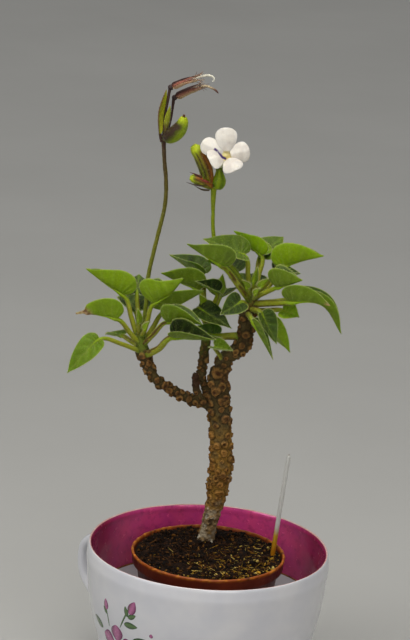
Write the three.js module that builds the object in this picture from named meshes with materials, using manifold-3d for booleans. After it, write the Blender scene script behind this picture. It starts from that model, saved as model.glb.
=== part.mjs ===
// A potted Deinostigma tamiana: a small gesneriad with bare scarred stems, three crowns of folded leaves and
// two flower stalks, in a plastic nursery pot that stands inside a porcelain teacup.
// Millimetres, +X right, +Y back, +Z up. The origin is the middle of the cup's foot, on the table.
import * as THREE from 'three';
import { mergeVertices } from 'three/addons/utils/BufferGeometryUtils.js';
import Module from 'manifold-3d';

const wasm = await Module();
wasm.setup();

// Gap between pieces that touch
const SEAT_GAP = 0.3;
const MERGE_DISTANCE = 1e-4;

// Teacup
const CUP_HEIGHT = 62;
const CUP_RIM_RADIUS = 45;
const CUP_LIP = 1.4;
const CUP_FLOOR_TOP = 8.5;
const CUP_FLOOR_RADIUS = 23;
const FOOT_RING_OUTER = 23.5;
const FOOT_RING_INNER = 20;
const FOOT_RING_HEIGHT = 4;
const FOOT_RECESS_DEPTH = 1;
const FOOT_BEVEL = 0.8;
const CUP_SEGMENTS = 40;

// Cup handle: a loop in the upright plane at this bearing from +X
const HANDLE_BEARING = THREE.MathUtils.degToRad(143);
const HANDLE_HALF_WIDTH = 3.2;
const HANDLE_HALF_THICKNESS = 2;
const HANDLE_SIDES = 8;
const HANDLE_STEPS = 16;

// Nursery pot
const POT_BASE_HEIGHT = CUP_FLOOR_TOP + SEAT_GAP;
const POT_RIM_HEIGHT = 59.6;
const POT_RIM_RADIUS = 28.5;
const POT_RIM_BAND = 5;
const POT_BODY_TOP_RADIUS = 26.3;
const POT_BASE_RADIUS = 20;
const POT_WALL = 1.1;
const POT_BEVEL = 0.6;
const POT_SEGMENTS = 32;
const DRAIN_HOLES = 5;
const DRAIN_HOLE_RADIUS = 1.9;
const DRAIN_CIRCLE_RADIUS = 12;
const DRAIN_SIDES = 8;

// Potting mix
const SOIL_EDGE_HEIGHT = 57.9;
const SOIL_MOUND = 1.6;
const SOIL_LUMP = 0.5;
const SOIL_FLARE = 1;
const SOIL_SEGMENTS = 28;
const SOIL_RINGS = 5;

// Stems
const ROOT_TIP = [-2, 11.5, 36];
const STEM_SIDES = 12;
const TWIG_SIDES = 8;
const STALK_SIDES = 6;

// Leaves, bracts and petals
const LEAF_HALF_WIDTH = 7;
const LEAF_THICKNESS = 1.3;
const EDGE_THINNING = 0.55;
const PETIOLE_RADIUS = 0.9;
const WIDEST = 0.14;
const BLADE_SIDES = 8;
const STALK_STEPS = 3;
const BLADE_STEPS = [0, 0.06, 0.16, 0.34, 0.56, 0.78, 0.92, 1];
const LOBE_SETBACK = 0.3;
const SHOULDER_POWER = 0.7;
const TAPER_POWER = 1.45;
const PETAL_THICKNESS = 0.8;
const PETAL_NECK = 0.18;

// Colours
const PORCELAIN = { color: '#e2e3e6', roughness: 0.18, metalness: 0 };
const TERRACOTTA_PLASTIC = { color: '#6b2a14', roughness: 0.45, metalness: 0 };
const PEAT = { color: '#2e2216', roughness: 0.95, metalness: 0 };
const BARK = { color: '#6a5a34', roughness: 0.85, metalness: 0 };
const LEAF_GREEN = { color: '#4f7a1c', roughness: 0.65, metalness: 0 };
const STALK_GREEN = { color: '#6c7d20', roughness: 0.6, metalness: 0 };
const PETAL_WHITE = { color: '#f0eef2', roughness: 0.7, metalness: 0 };
const DRY_BROWN = { color: '#5a3226', roughness: 0.85, metalness: 0 };
const CLEAR_PLASTIC = { color: '#c9ccc6', roughness: 0.35, metalness: 0 };

const potted = new THREE.Group();
potted.name = 'potted_deinostigma_tamiana';

function add(name, geometry, finish) {
  const mesh = new THREE.Mesh(geometry, new THREE.MeshStandardMaterial(finish));
  mesh.name = name;
  potted.add(mesh);
}

// Solids for joining and cutting

function bare(geometry) {
  geometry.deleteAttribute('normal');
  geometry.deleteAttribute('uv');
  return mergeVertices(geometry, MERGE_DISTANCE);
}

function toSolid(geometry) {
  const merged = bare(geometry);
  return new wasm.Manifold(new wasm.Mesh({
    numProp: 3,
    vertProperties: new Float32Array(merged.getAttribute('position').array),
    triVerts: new Uint32Array(merged.getIndex().array),
  }));
}

function fromSolid(solid) {
  const mesh = solid.getMesh();
  const geometry = new THREE.BufferGeometry();
  geometry.setAttribute('position', new THREE.BufferAttribute(mesh.vertProperties, 3));
  geometry.setIndex(new THREE.BufferAttribute(mesh.triVerts, 1));
  return geometry;
}

function union(solids) {
  return solids.reduce((whole, piece) => whole.add(piece));
}

// Skins: the rings of a sphere are carried to sections along a path, and its two poles close the ends.
// place(ring, angle, point) sets where each ring's point goes; the angle turns right-handed about the path.
function skin(sides, rings, place) {
  const geometry = new THREE.SphereGeometry(1, sides, rings);
  const position = geometry.getAttribute('position');
  const columns = sides + 1;
  const point = new THREE.Vector3();
  for (let index = 0; index < position.count; index += 1) {
    const ring = Math.floor(index / columns);
    const angle = (-2 * Math.PI * ((index % columns) % sides)) / sides;
    place(ring, angle, point);
    position.setXYZ(index, point.x, point.y, point.z);
  }
  return bare(geometry);
}

function curveThrough(points) {
  return new THREE.CatmullRomCurve3(points.map((p) => new THREE.Vector3(...p)), false, 'centripetal');
}

function radiusAt(radii, fraction) {
  const place = fraction * (radii.length - 1);
  const before = Math.min(Math.floor(place), radii.length - 2);
  return THREE.MathUtils.lerp(radii[before], radii[before + 1], place - before);
}

// A round stem through the points, with a radius at each of them and flat ends
function tube(points, radii, sides, stepsPerSpan = 2, extra = 0) {
  const curve = curveThrough(points);
  const steps = (points.length - 1) * stepsPerSpan;
  const stations = [];
  for (let step = 0; step <= steps; step += 1) {
    stations.push(curve.getPoint(step / steps));
  }
  const across = new THREE.Vector3();
  const upward = new THREE.Vector3();
  const tangent = new THREE.Vector3();
  const reference = new THREE.Vector3(0, 1, 0);
  return skin(sides, steps + 2, (ring, angle, point) => {
    const step = THREE.MathUtils.clamp(ring - 1, 0, steps);
    point.copy(stations[step]);
    if (ring === 0 || ring === steps + 2) {
      return;
    }
    curve.getTangent(step / steps, tangent);
    across.crossVectors(reference, tangent).normalize();
    upward.crossVectors(tangent, across);
    const radius = radiusAt(radii, step / steps) + extra;
    point.addScaledVector(across, radius * Math.cos(angle));
    point.addScaledVector(upward, radius * Math.sin(angle));
  });
}

// Teacup: a round bowl on a low foot ring, with its handle behind on the left

// The bowl's outer and inner sides, as distance from the cup's axis and height
const cupOuter = [
  [FOOT_RING_OUTER, FOOT_RING_HEIGHT],
  [31, 10.5],
  [37.2, 20],
  [41.2, 31],
  [43.6, 43],
  [44.7, 54],
];
const cupInner = [
  [43.4, 54],
  [42, 43],
  [39.2, 31],
  [34.8, 20],
  [29.5, 12.3],
];

function cupBowl() {
  const outer = cupOuter.map(([r, z]) => new THREE.Vector2(r, z));
  const inner = cupInner.map(([r, z]) => new THREE.Vector2(r, z));
  const profile = [
    new THREE.Vector2(0, FOOT_RECESS_DEPTH),
    new THREE.Vector2(FOOT_RING_INNER - FOOT_BEVEL, FOOT_RECESS_DEPTH),
    new THREE.Vector2(FOOT_RING_INNER, 0),
    new THREE.Vector2(FOOT_RING_OUTER - FOOT_BEVEL, 0),
    new THREE.Vector2(FOOT_RING_OUTER, FOOT_BEVEL),
    ...outer,
    new THREE.Vector2(CUP_RIM_RADIUS, CUP_HEIGHT - CUP_LIP / 2),
    new THREE.Vector2(CUP_RIM_RADIUS - CUP_LIP / 2, CUP_HEIGHT),
    new THREE.Vector2(CUP_RIM_RADIUS - CUP_LIP, CUP_HEIGHT - CUP_LIP / 2),
    ...inner,
    new THREE.Vector2(CUP_FLOOR_RADIUS, CUP_FLOOR_TOP),
    new THREE.Vector2(0, CUP_FLOOR_TOP),
  ];
  const bowl = new THREE.LatheGeometry(profile, CUP_SEGMENTS);
  bowl.rotateX(Math.PI / 2);
  return bowl;
}

// The loop's middle line as distance from the cup's axis and height
const handleLine = [
  [43.6, 49],
  [48, 50.2],
  [53.5, 50.2],
  [57.8, 47],
  [59, 41.2],
  [57.6, 34.6],
  [53, 29],
  [46.5, 25.8],
  [37.6, 24.4],
];

function cupHandle() {
  const outward = new THREE.Vector3(Math.cos(HANDLE_BEARING), Math.sin(HANDLE_BEARING), 0);
  const sideways = new THREE.Vector3(-outward.y, outward.x, 0);
  const line = new THREE.SplineCurve(handleLine.map(([r, z]) => new THREE.Vector2(r, z)));
  const last = HANDLE_STEPS + 2;
  return skin(HANDLE_SIDES, last, (ring, angle, point) => {
    const along = THREE.MathUtils.clamp(ring - 1, 0, HANDLE_STEPS) / HANDLE_STEPS;
    const middle = line.getPoint(along);
    const tangent = line.getTangent(along);
    const closed = ring === 0 || ring === last ? 0 : 1;
    const wide = closed * HANDLE_HALF_WIDTH * Math.cos(angle);
    const thick = closed * HANDLE_HALF_THICKNESS * Math.sin(angle);
    const radius = middle.x - tangent.y * thick;
    point.copy(outward).multiplyScalar(radius);
    point.addScaledVector(sideways, wide);
    point.z = middle.y + tangent.x * thick;
  });
}

add('teacup', fromSolid(toSolid(cupBowl()).add(toSolid(cupHandle()))), PORCELAIN);

// Nursery pot: a thin tapered pot with a deeper rim band and drain holes in its base

function potWall() {
  const top = POT_RIM_HEIGHT;
  const base = POT_BASE_HEIGHT;
  const bandBottom = top - POT_RIM_BAND;
  const profile = [
    [0, base],
    [POT_BASE_RADIUS - POT_BEVEL, base],
    [POT_BASE_RADIUS, base + POT_BEVEL],
    [POT_BODY_TOP_RADIUS, bandBottom],
    [POT_RIM_RADIUS - POT_BEVEL, bandBottom + POT_BEVEL],
    [POT_RIM_RADIUS, top - POT_BEVEL],
    [POT_RIM_RADIUS - POT_BEVEL / 2, top],
    [POT_RIM_RADIUS - POT_WALL, top],
    [POT_BODY_TOP_RADIUS - POT_WALL, bandBottom - POT_BEVEL],
    [POT_BASE_RADIUS - POT_WALL, base + POT_WALL + POT_BEVEL],
    [POT_BASE_RADIUS - POT_WALL - POT_BEVEL, base + POT_WALL],
    [0, base + POT_WALL],
  ].map(([r, z]) => new THREE.Vector2(r, z));
  const wall = new THREE.LatheGeometry(profile, POT_SEGMENTS);
  wall.rotateX(Math.PI / 2);
  return toSolid(wall);
}

function drainHole(index) {
  const bearing = (2 * Math.PI * index) / DRAIN_HOLES;
  const hole = new THREE.CylinderGeometry(DRAIN_HOLE_RADIUS, DRAIN_HOLE_RADIUS, 4 * POT_WALL, DRAIN_SIDES);
  hole.rotateX(Math.PI / 2);
  hole.translate(
    DRAIN_CIRCLE_RADIUS * Math.cos(bearing),
    DRAIN_CIRCLE_RADIUS * Math.sin(bearing),
    POT_BASE_HEIGHT,
  );
  return toSolid(hole);
}

function nurseryPot() {
  let pot = potWall();
  for (let index = 0; index < DRAIN_HOLES; index += 1) {
    pot = pot.subtract(drainHole(index));
  }
  return fromSolid(pot);
}

add('nursery_pot', nurseryPot(), TERRACOTTA_PLASTIC);

// Stems: the trunk runs down into the mix as a short root, and carries a right, a middle and a left branch

const trunkLine = {
  points: [
    ROOT_TIP,
    [-1.6, 11.2, 50],
    [-1.6, 11, 57.5],
    [-0.9, 11, 62],
    [-0.2, 10.5, 67],
    [1.2, 10, 74],
    [2, 9, 81],
    [2.5, 8, 89.5],
    [2.2, 7, 98],
    [1.2, 6, 109],
    [0.3, 5.5, 117],
    [-0.4, 5, 123.5],
    [-1, 5, 129.5],
  ],
  radii: [1, 2.6, 3.7, 3.3, 3.3, 3.5, 4, 4.4, 4.4, 4.3, 4.3, 3.9, 3],
};

const rightBranchLine = {
  points: [
    [-0.4, 5, 125],
    [1.8, 4.6, 133.5],
    [6.6, 3.8, 137.5],
    [8.3, 3, 143],
    [8.4, 2.5, 150],
    [9.4, 2, 155.5],
    [10.2, 2, 160],
  ],
  radii: [3, 3.2, 3, 3, 3, 2.8, 1.9],
};

const middleBranchLine = {
  points: [
    [-3.8, 6, 118],
    [-6.6, 7.2, 125.5],
    [-6.5, 9, 131],
    [-6, 10, 138],
    [-6, 10.3, 147],
  ],
  radii: [1.9, 1.8, 1.8, 1.9, 1.6],
};

const leftBranchLine = {
  points: [
    [-0.5, 5.2, 112.5],
    [-4.8, 5, 115.6],
    [-8.2, 4, 116.4],
    [-15.5, 2, 120],
    [-23.6, 0, 125.4],
    [-26.8, 0, 131],
    [-28.6, 0, 136],
    [-30.3, 0, 142.5],
  ],
  radii: [2.4, 2.3, 2.1, 2.1, 2.1, 2.3, 2.7, 1.8],
};

const stubLine = {
  points: [
    [-5.5, 4.6, 115.5],
    [-8.4, 3, 121.8],
    [-9, 2, 127.6],
  ],
  radii: [1.6, 1.3, 1.1],
};

function stemSolid(extra) {
  return union([
    toSolid(tube(trunkLine.points, trunkLine.radii, STEM_SIDES, 2, extra)),
    toSolid(tube(rightBranchLine.points, rightBranchLine.radii, TWIG_SIDES, 2, extra)),
    toSolid(tube(middleBranchLine.points, middleBranchLine.radii, TWIG_SIDES, 2, extra)),
    toSolid(tube(leftBranchLine.points, leftBranchLine.radii, TWIG_SIDES, 2, extra)),
    toSolid(tube(stubLine.points, stubLine.radii, TWIG_SIDES, 2, extra)),
  ]);
}

add('stem', fromSolid(stemSolid(0)), BARK);

// The same stems a gap fatter, which cut the seats of all that grows on them
const stemClearance = stemSolid(SEAT_GAP);

// Marker stick: a thin clear rod pushed into the mix
const stickLine = {
  points: [
    [23, 2.3, 48],
    [23.9, 2, 59],
    [27.2, 0, 99.5],
  ],
  radii: [0.8, 0.9, 0.75],
};

add('marker_stick', tube(stickLine.points, stickLine.radii, STALK_SIDES, 1), CLEAR_PLASTIC);

// Potting mix: a plug whose top is lumpy by two crossed waves, cut clear of the root and the stick

function soilTop(x, y, edge) {
  const lumps = Math.sin(0.55 * x + 1) * Math.cos(0.48 * y - 0.6) + 0.6 * Math.sin(0.21 * x - 0.34 * y);
  return SOIL_EDGE_HEIGHT + (1 - edge * edge) * (SOIL_MOUND + SOIL_LUMP * lumps);
}

function pottingMix() {
  const clearWall = POT_WALL + SEAT_GAP;
  const topRadius = POT_BODY_TOP_RADIUS - clearWall;
  const baseRadius = POT_BASE_RADIUS - clearWall - POT_BEVEL;
  const baseHeight = POT_BASE_HEIGHT + POT_WALL + SEAT_GAP;
  const edgeRadius = topRadius + SOIL_FLARE;
  const profile = [
    new THREE.Vector2(0, baseHeight),
    new THREE.Vector2(baseRadius, baseHeight),
    new THREE.Vector2(topRadius - SEAT_GAP, POT_RIM_HEIGHT - POT_RIM_BAND - 2 * POT_BEVEL),
  ];
  for (let ring = SOIL_RINGS; ring >= 0; ring -= 1) {
    profile.push(new THREE.Vector2((edgeRadius * ring) / SOIL_RINGS, SOIL_EDGE_HEIGHT));
  }
  const plug = new THREE.LatheGeometry(profile, SOIL_SEGMENTS);
  plug.rotateX(Math.PI / 2);
  const position = plug.getAttribute('position');
  for (let index = 0; index < position.count; index += 1) {
    const x = position.getX(index);
    const y = position.getY(index);
    if (position.getZ(index) > SOIL_EDGE_HEIGHT - 0.1) {
      position.setZ(index, soilTop(x, y, Math.hypot(x, y) / edgeRadius));
    }
  }
  const stickClearance = toSolid(tube(stickLine.points, stickLine.radii, STALK_SIDES, 1, SEAT_GAP));
  return fromSolid(toSolid(plug).subtract(stemClearance).subtract(stickClearance));
}

add('potting_mix', pottingMix(), PEAT);

// Flower stalks

const leftStalkLine = {
  points: [
    [-29.2, 1.2, 141.8],
    [-28.4, 1.8, 152],
    [-28.3, 2, 162],
    [-27, 2, 171],
    [-25.2, 2, 181],
    [-23.7, 2, 190],
    [-23.8, 2, 198],
    [-25, 2, 207.5],
    [-25.6, 2, 214.2],
  ],
  radii: [0.8, 0.8, 0.8, 0.8, 0.8, 0.85, 0.9, 0.95, 1.3],
};

const rightStalkLine = {
  points: [
    [9, 4, 158.5],
    [4, 6, 165],
    [-0.5, 6, 170],
    [-3.8, 5.4, 174],
    [-5.6, 5, 179],
    [-7, 5, 188],
    [-6.6, 5, 196],
  ],
  radii: [0.75, 0.75, 0.7, 0.7, 0.7, 0.7, 1.1],
};

function stalkSolid(line, extra) {
  return toSolid(tube(line.points, line.radii, STALK_SIDES, 2, extra));
}

add('flower_stalk_left', fromSolid(stalkSolid(leftStalkLine, 0).subtract(stemClearance)), STALK_GREEN);
add('flower_stalk_right', fromSolid(stalkSolid(rightStalkLine, 0).subtract(stemClearance)), STALK_GREEN);

const leftStalkClearance = stalkSolid(leftStalkLine, SEAT_GAP);
const rightStalkClearance = stalkSolid(rightStalkLine, SEAT_GAP);

// Leaves, bracts and petals: each is one piece, a round stalk that opens into a blade folded along its
// middle. An outline gives a blade's half width, from 0 to 1, at a fraction of its length.

function pointedOutline(fraction, widest) {
  if (fraction < widest) {
    return Math.sin((0.5 * Math.PI * fraction) / widest) ** SHOULDER_POWER;
  }
  return 1 - ((fraction - widest) / (1 - widest)) ** TAPER_POWER;
}

function roundOutline(fraction, widest) {
  if (fraction < widest) {
    return Math.sin((0.5 * Math.PI * fraction) / widest) ** SHOULDER_POWER;
  }
  return (1 - ((fraction - widest) / (1 - widest)) ** 2) ** 0.5;
}

function between(a, b, shift) {
  return a.map((value, axis) => (value + b[axis]) / 2 + shift[axis]);
}

// A blade's foot, neck and tip are where its stalk starts, where the blade starts and where it ends.
// Its halves open towards up and rise by fold degrees. arch lifts the blade's middle, bow shifts the
// stalk's middle, and lobe carries the blade's corners back past its neck.
function bladeGeometry(row) {
  const shape = {
    stalk: PETIOLE_RADIUS, widest: WIDEST, outline: pointedOutline, arch: 0, bow: [0, 0, 0],
    lobe: LOBE_SETBACK, thickness: (LEAF_THICKNESS * row.halfWidth) / LEAF_HALF_WIDTH, ...row,
  };
  const up = new THREE.Vector3(...shape.up).normalize();
  const blade = new THREE.Vector3(...shape.tip).sub(new THREE.Vector3(...shape.neck));
  const side = new THREE.Vector3().crossVectors(up, blade).normalize();
  const curve = curveThrough([
    shape.foot,
    between(shape.foot, shape.neck, shape.bow),
    shape.neck,
    between(shape.neck, shape.tip, up.clone().multiplyScalar(shape.arch).toArray()),
    shape.tip,
  ]);
  const fold = THREE.MathUtils.degToRad(shape.fold);
  const rings = STALK_STEPS + BLADE_STEPS.length;
  const tangent = new THREE.Vector3();
  const normal = new THREE.Vector3();
  return skin(BLADE_SIDES, rings, (ring, angle, point) => {
    const step = Math.max(ring - 1, 0);
    const bladeStep = THREE.MathUtils.clamp(step - STALK_STEPS, 0, BLADE_STEPS.length - 1);
    const onBlade = BLADE_STEPS[bladeStep];
    const along = step < STALK_STEPS ? (0.5 * step) / STALK_STEPS : 0.5 + 0.5 * onBlade;
    curve.getPoint(along, point);
    if (ring === 0 || ring === rings) {
      return;
    }
    curve.getTangent(along, tangent);
    normal.crossVectors(tangent, side).normalize();
    const width = Math.cos(angle);
    const height = Math.sin(angle);
    const opened = Math.min(onBlade / WIDEST, 1);
    const tilt = fold * opened;
    const spread = shape.halfWidth * shape.outline(onBlade, shape.widest);
    const half = Math.max(shape.stalk * (1 - opened), spread);
    const thick = THREE.MathUtils.lerp(shape.stalk, 0.5 * shape.thickness, opened);
    const thinning = 1 - EDGE_THINNING * opened * Math.abs(width);
    point.addScaledVector(side, half * width * Math.cos(tilt) - height * thick * Math.sin(tilt) * width);
    point.addScaledVector(normal, half * Math.abs(width) * Math.sin(tilt) + height * thick * thinning);
    point.addScaledVector(tangent, -shape.lobe * shape.halfWidth * opened * (1 - onBlade) ** 2 * width ** 2);
  });
}

// Left flower stalk: two bracts, two spent flowers and a ripening capsule, seated round its end

const stalkClearance = union([leftStalkClearance, rightStalkClearance]);

function addSeated(name, geometry, finish) {
  add(name, fromSolid(toSolid(geometry).subtract(stalkClearance)), finish);
}

addSeated('bract_outer', bladeGeometry({
  foot: [-26.3, 1.8, 213.2], neck: [-28.2, 1.5, 216.4], tip: [-26.2, 1.5, 232], up: [1, 0, 0.1],
  halfWidth: 2.6, fold: 48, arch: -1.6, stalk: 0.6, widest: 0.4, lobe: 0,
}), STALK_GREEN);
addSeated('bract_inner', bladeGeometry({
  foot: [-25.5, 1.2, 213.4], neck: [-25, -0.4, 217], tip: [-23.9, -1.2, 227], up: [-0.5, 0.8, 0],
  halfWidth: 1.3, fold: 40, arch: -0.4, stalk: 0.5, widest: 0.4, lobe: 0,
}), STALK_GREEN);

const spentFlowers = {
  spent_flower_upper: {
    points: [
      [-25.7, 2.1, 213.6], [-25.5, 1.7, 222.8], [-24.4, 1.8, 232.4], [-20, 1.2, 235.3],
      [-15.2, 0.4, 237.5], [-11, 0, 238.6], [-9.1, 0, 237.4], [-9.8, 0, 236.7],
    ],
    radii: [0.6, 0.65, 0.8, 1.3, 0.8, 0.4, 0.35, 0.3],
  },
  spent_flower_lower: {
    points: [
      [-25, 3.2, 213.8], [-23.4, 4.4, 221.8], [-22.9, 4.4, 228.4], [-18.4, 4.2, 231.4],
      [-13.6, 4, 233.6], [-9.8, 4, 233.1], [-7.3, 4, 232],
    ],
    radii: [0.6, 0.65, 0.8, 1.3, 0.8, 0.35, 0.3],
  },
};

for (const [name, line] of Object.entries(spentFlowers)) {
  addSeated(name, tube(line.points, line.radii, STALK_SIDES, 2), DRY_BROWN);
}

addSeated('seed_capsule', tube(
  [
    [-25.1, 1.2, 212.4], [-23.4, -1, 213.4], [-21.5, -2.2, 217.2],
    [-19.8, -2.4, 221.2], [-18.3, -2.4, 223.9],
  ],
  [0.6, 1.6, 2.8, 2.3, 0.6],
  TWIG_SIDES,
), STALK_GREEN);

// Right flower stalk: the open flower's calyx and corolla, a large bud and a small bud

addSeated('calyx', tube(
  [[-6.2, 5, 195.8], [-5.1, 4.5, 197.6], [-4.6, 4.2, 200.2], [-4.8, 3.6, 203], [-4.9, 3.2, 205.2]],
  [0.8, 2.1, 2.5, 1.7, 1.5],
  TWIG_SIDES,
), STALK_GREEN);

const throat = [-3, -1, 210.2];
const corollaTube = {
  points: [[-4.8, 2.7, 206.3], [-4.2, 1.2, 208], throat],
  radii: [1.3, 1.7, 2.4],
};

// Each lobe's tip, and where its hollow side faces
const corollaLobes = [
  { tip: [-3.6, 0.6, 220], up: [0, -1, 0.1], halfWidth: 4.3 },
  { tip: [-12, 0.2, 214.2], up: [0.1, -1, 0.3], halfWidth: 3.7 },
  { tip: [-8.8, -5, 207.8], up: [0.1, -0.8, 0.6], halfWidth: 3.7 },
  { tip: [2, -6.2, 206.4], up: [-0.1, -0.7, 0.7], halfWidth: 3.9 },
  { tip: [5.2, -1, 212.6], up: [-0.1, -1, 0.2], halfWidth: 3.9 },
];

function corolla() {
  const lobes = corollaLobes.map((lobe) => {
    const neck = throat.map((value, axis) => value + PETAL_NECK * (lobe.tip[axis] - value));
    return toSolid(bladeGeometry({
      foot: corollaTube.points[1], neck, fold: 12, stalk: 1, widest: 0.6, outline: roundOutline,
      thickness: PETAL_THICKNESS, ...lobe,
    }));
  });
  return fromSolid(union([toSolid(tube(corollaTube.points, corollaTube.radii, TWIG_SIDES)), ...lobes]));
}

add('corolla', corolla(), PETAL_WHITE);

addSeated('flower_bud_large', tube(
  [[-7.2, 5, 195], [-10, 4.4, 199.2], [-11.2, 2.9, 203.2], [-12.8, 1.8, 208], [-15, 1.2, 212.4]],
  [0.5, 0.9, 1.9, 1.9, 1],
  TWIG_SIDES,
), STALK_GREEN);
addSeated('flower_bud_small', tube(
  [[-7.2, 5, 193.4], [-9.4, 4.4, 195.6], [-11.4, 3.6, 198], [-13.4, 3.2, 199.2], [-15.8, 2.8, 199.8]],
  [0.5, 0.7, 1.3, 1.4, 0.5],
  TWIG_SIDES,
), STALK_GREEN);

// Where a leaf's petiole starts on a crown: at this height and bearing, inside the branch's skin
function footOn(crown, bearing, height) {
  const along = THREE.MathUtils.clamp((height - crown.low[2]) / (crown.high[2] - crown.low[2]), 0, 1);
  const axis = crown.low.map((value, index) => THREE.MathUtils.lerp(value, crown.high[index], along));
  const angle = THREE.MathUtils.degToRad(bearing);
  return [axis[0] + crown.inset * Math.cos(angle), axis[1] + crown.inset * Math.sin(angle), height];
}

const crowns = {
  left: { low: [-27.9, 0, 134], high: [-30.3, 0, 142.5], inset: 1.2 },
  middle: { low: [-6, 10, 137], high: [-6, 10.3, 147], inset: 0.9 },
  right: { low: [8.4, 2.4, 151], high: [10.2, 2, 160], inset: 1.3 },
};

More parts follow.
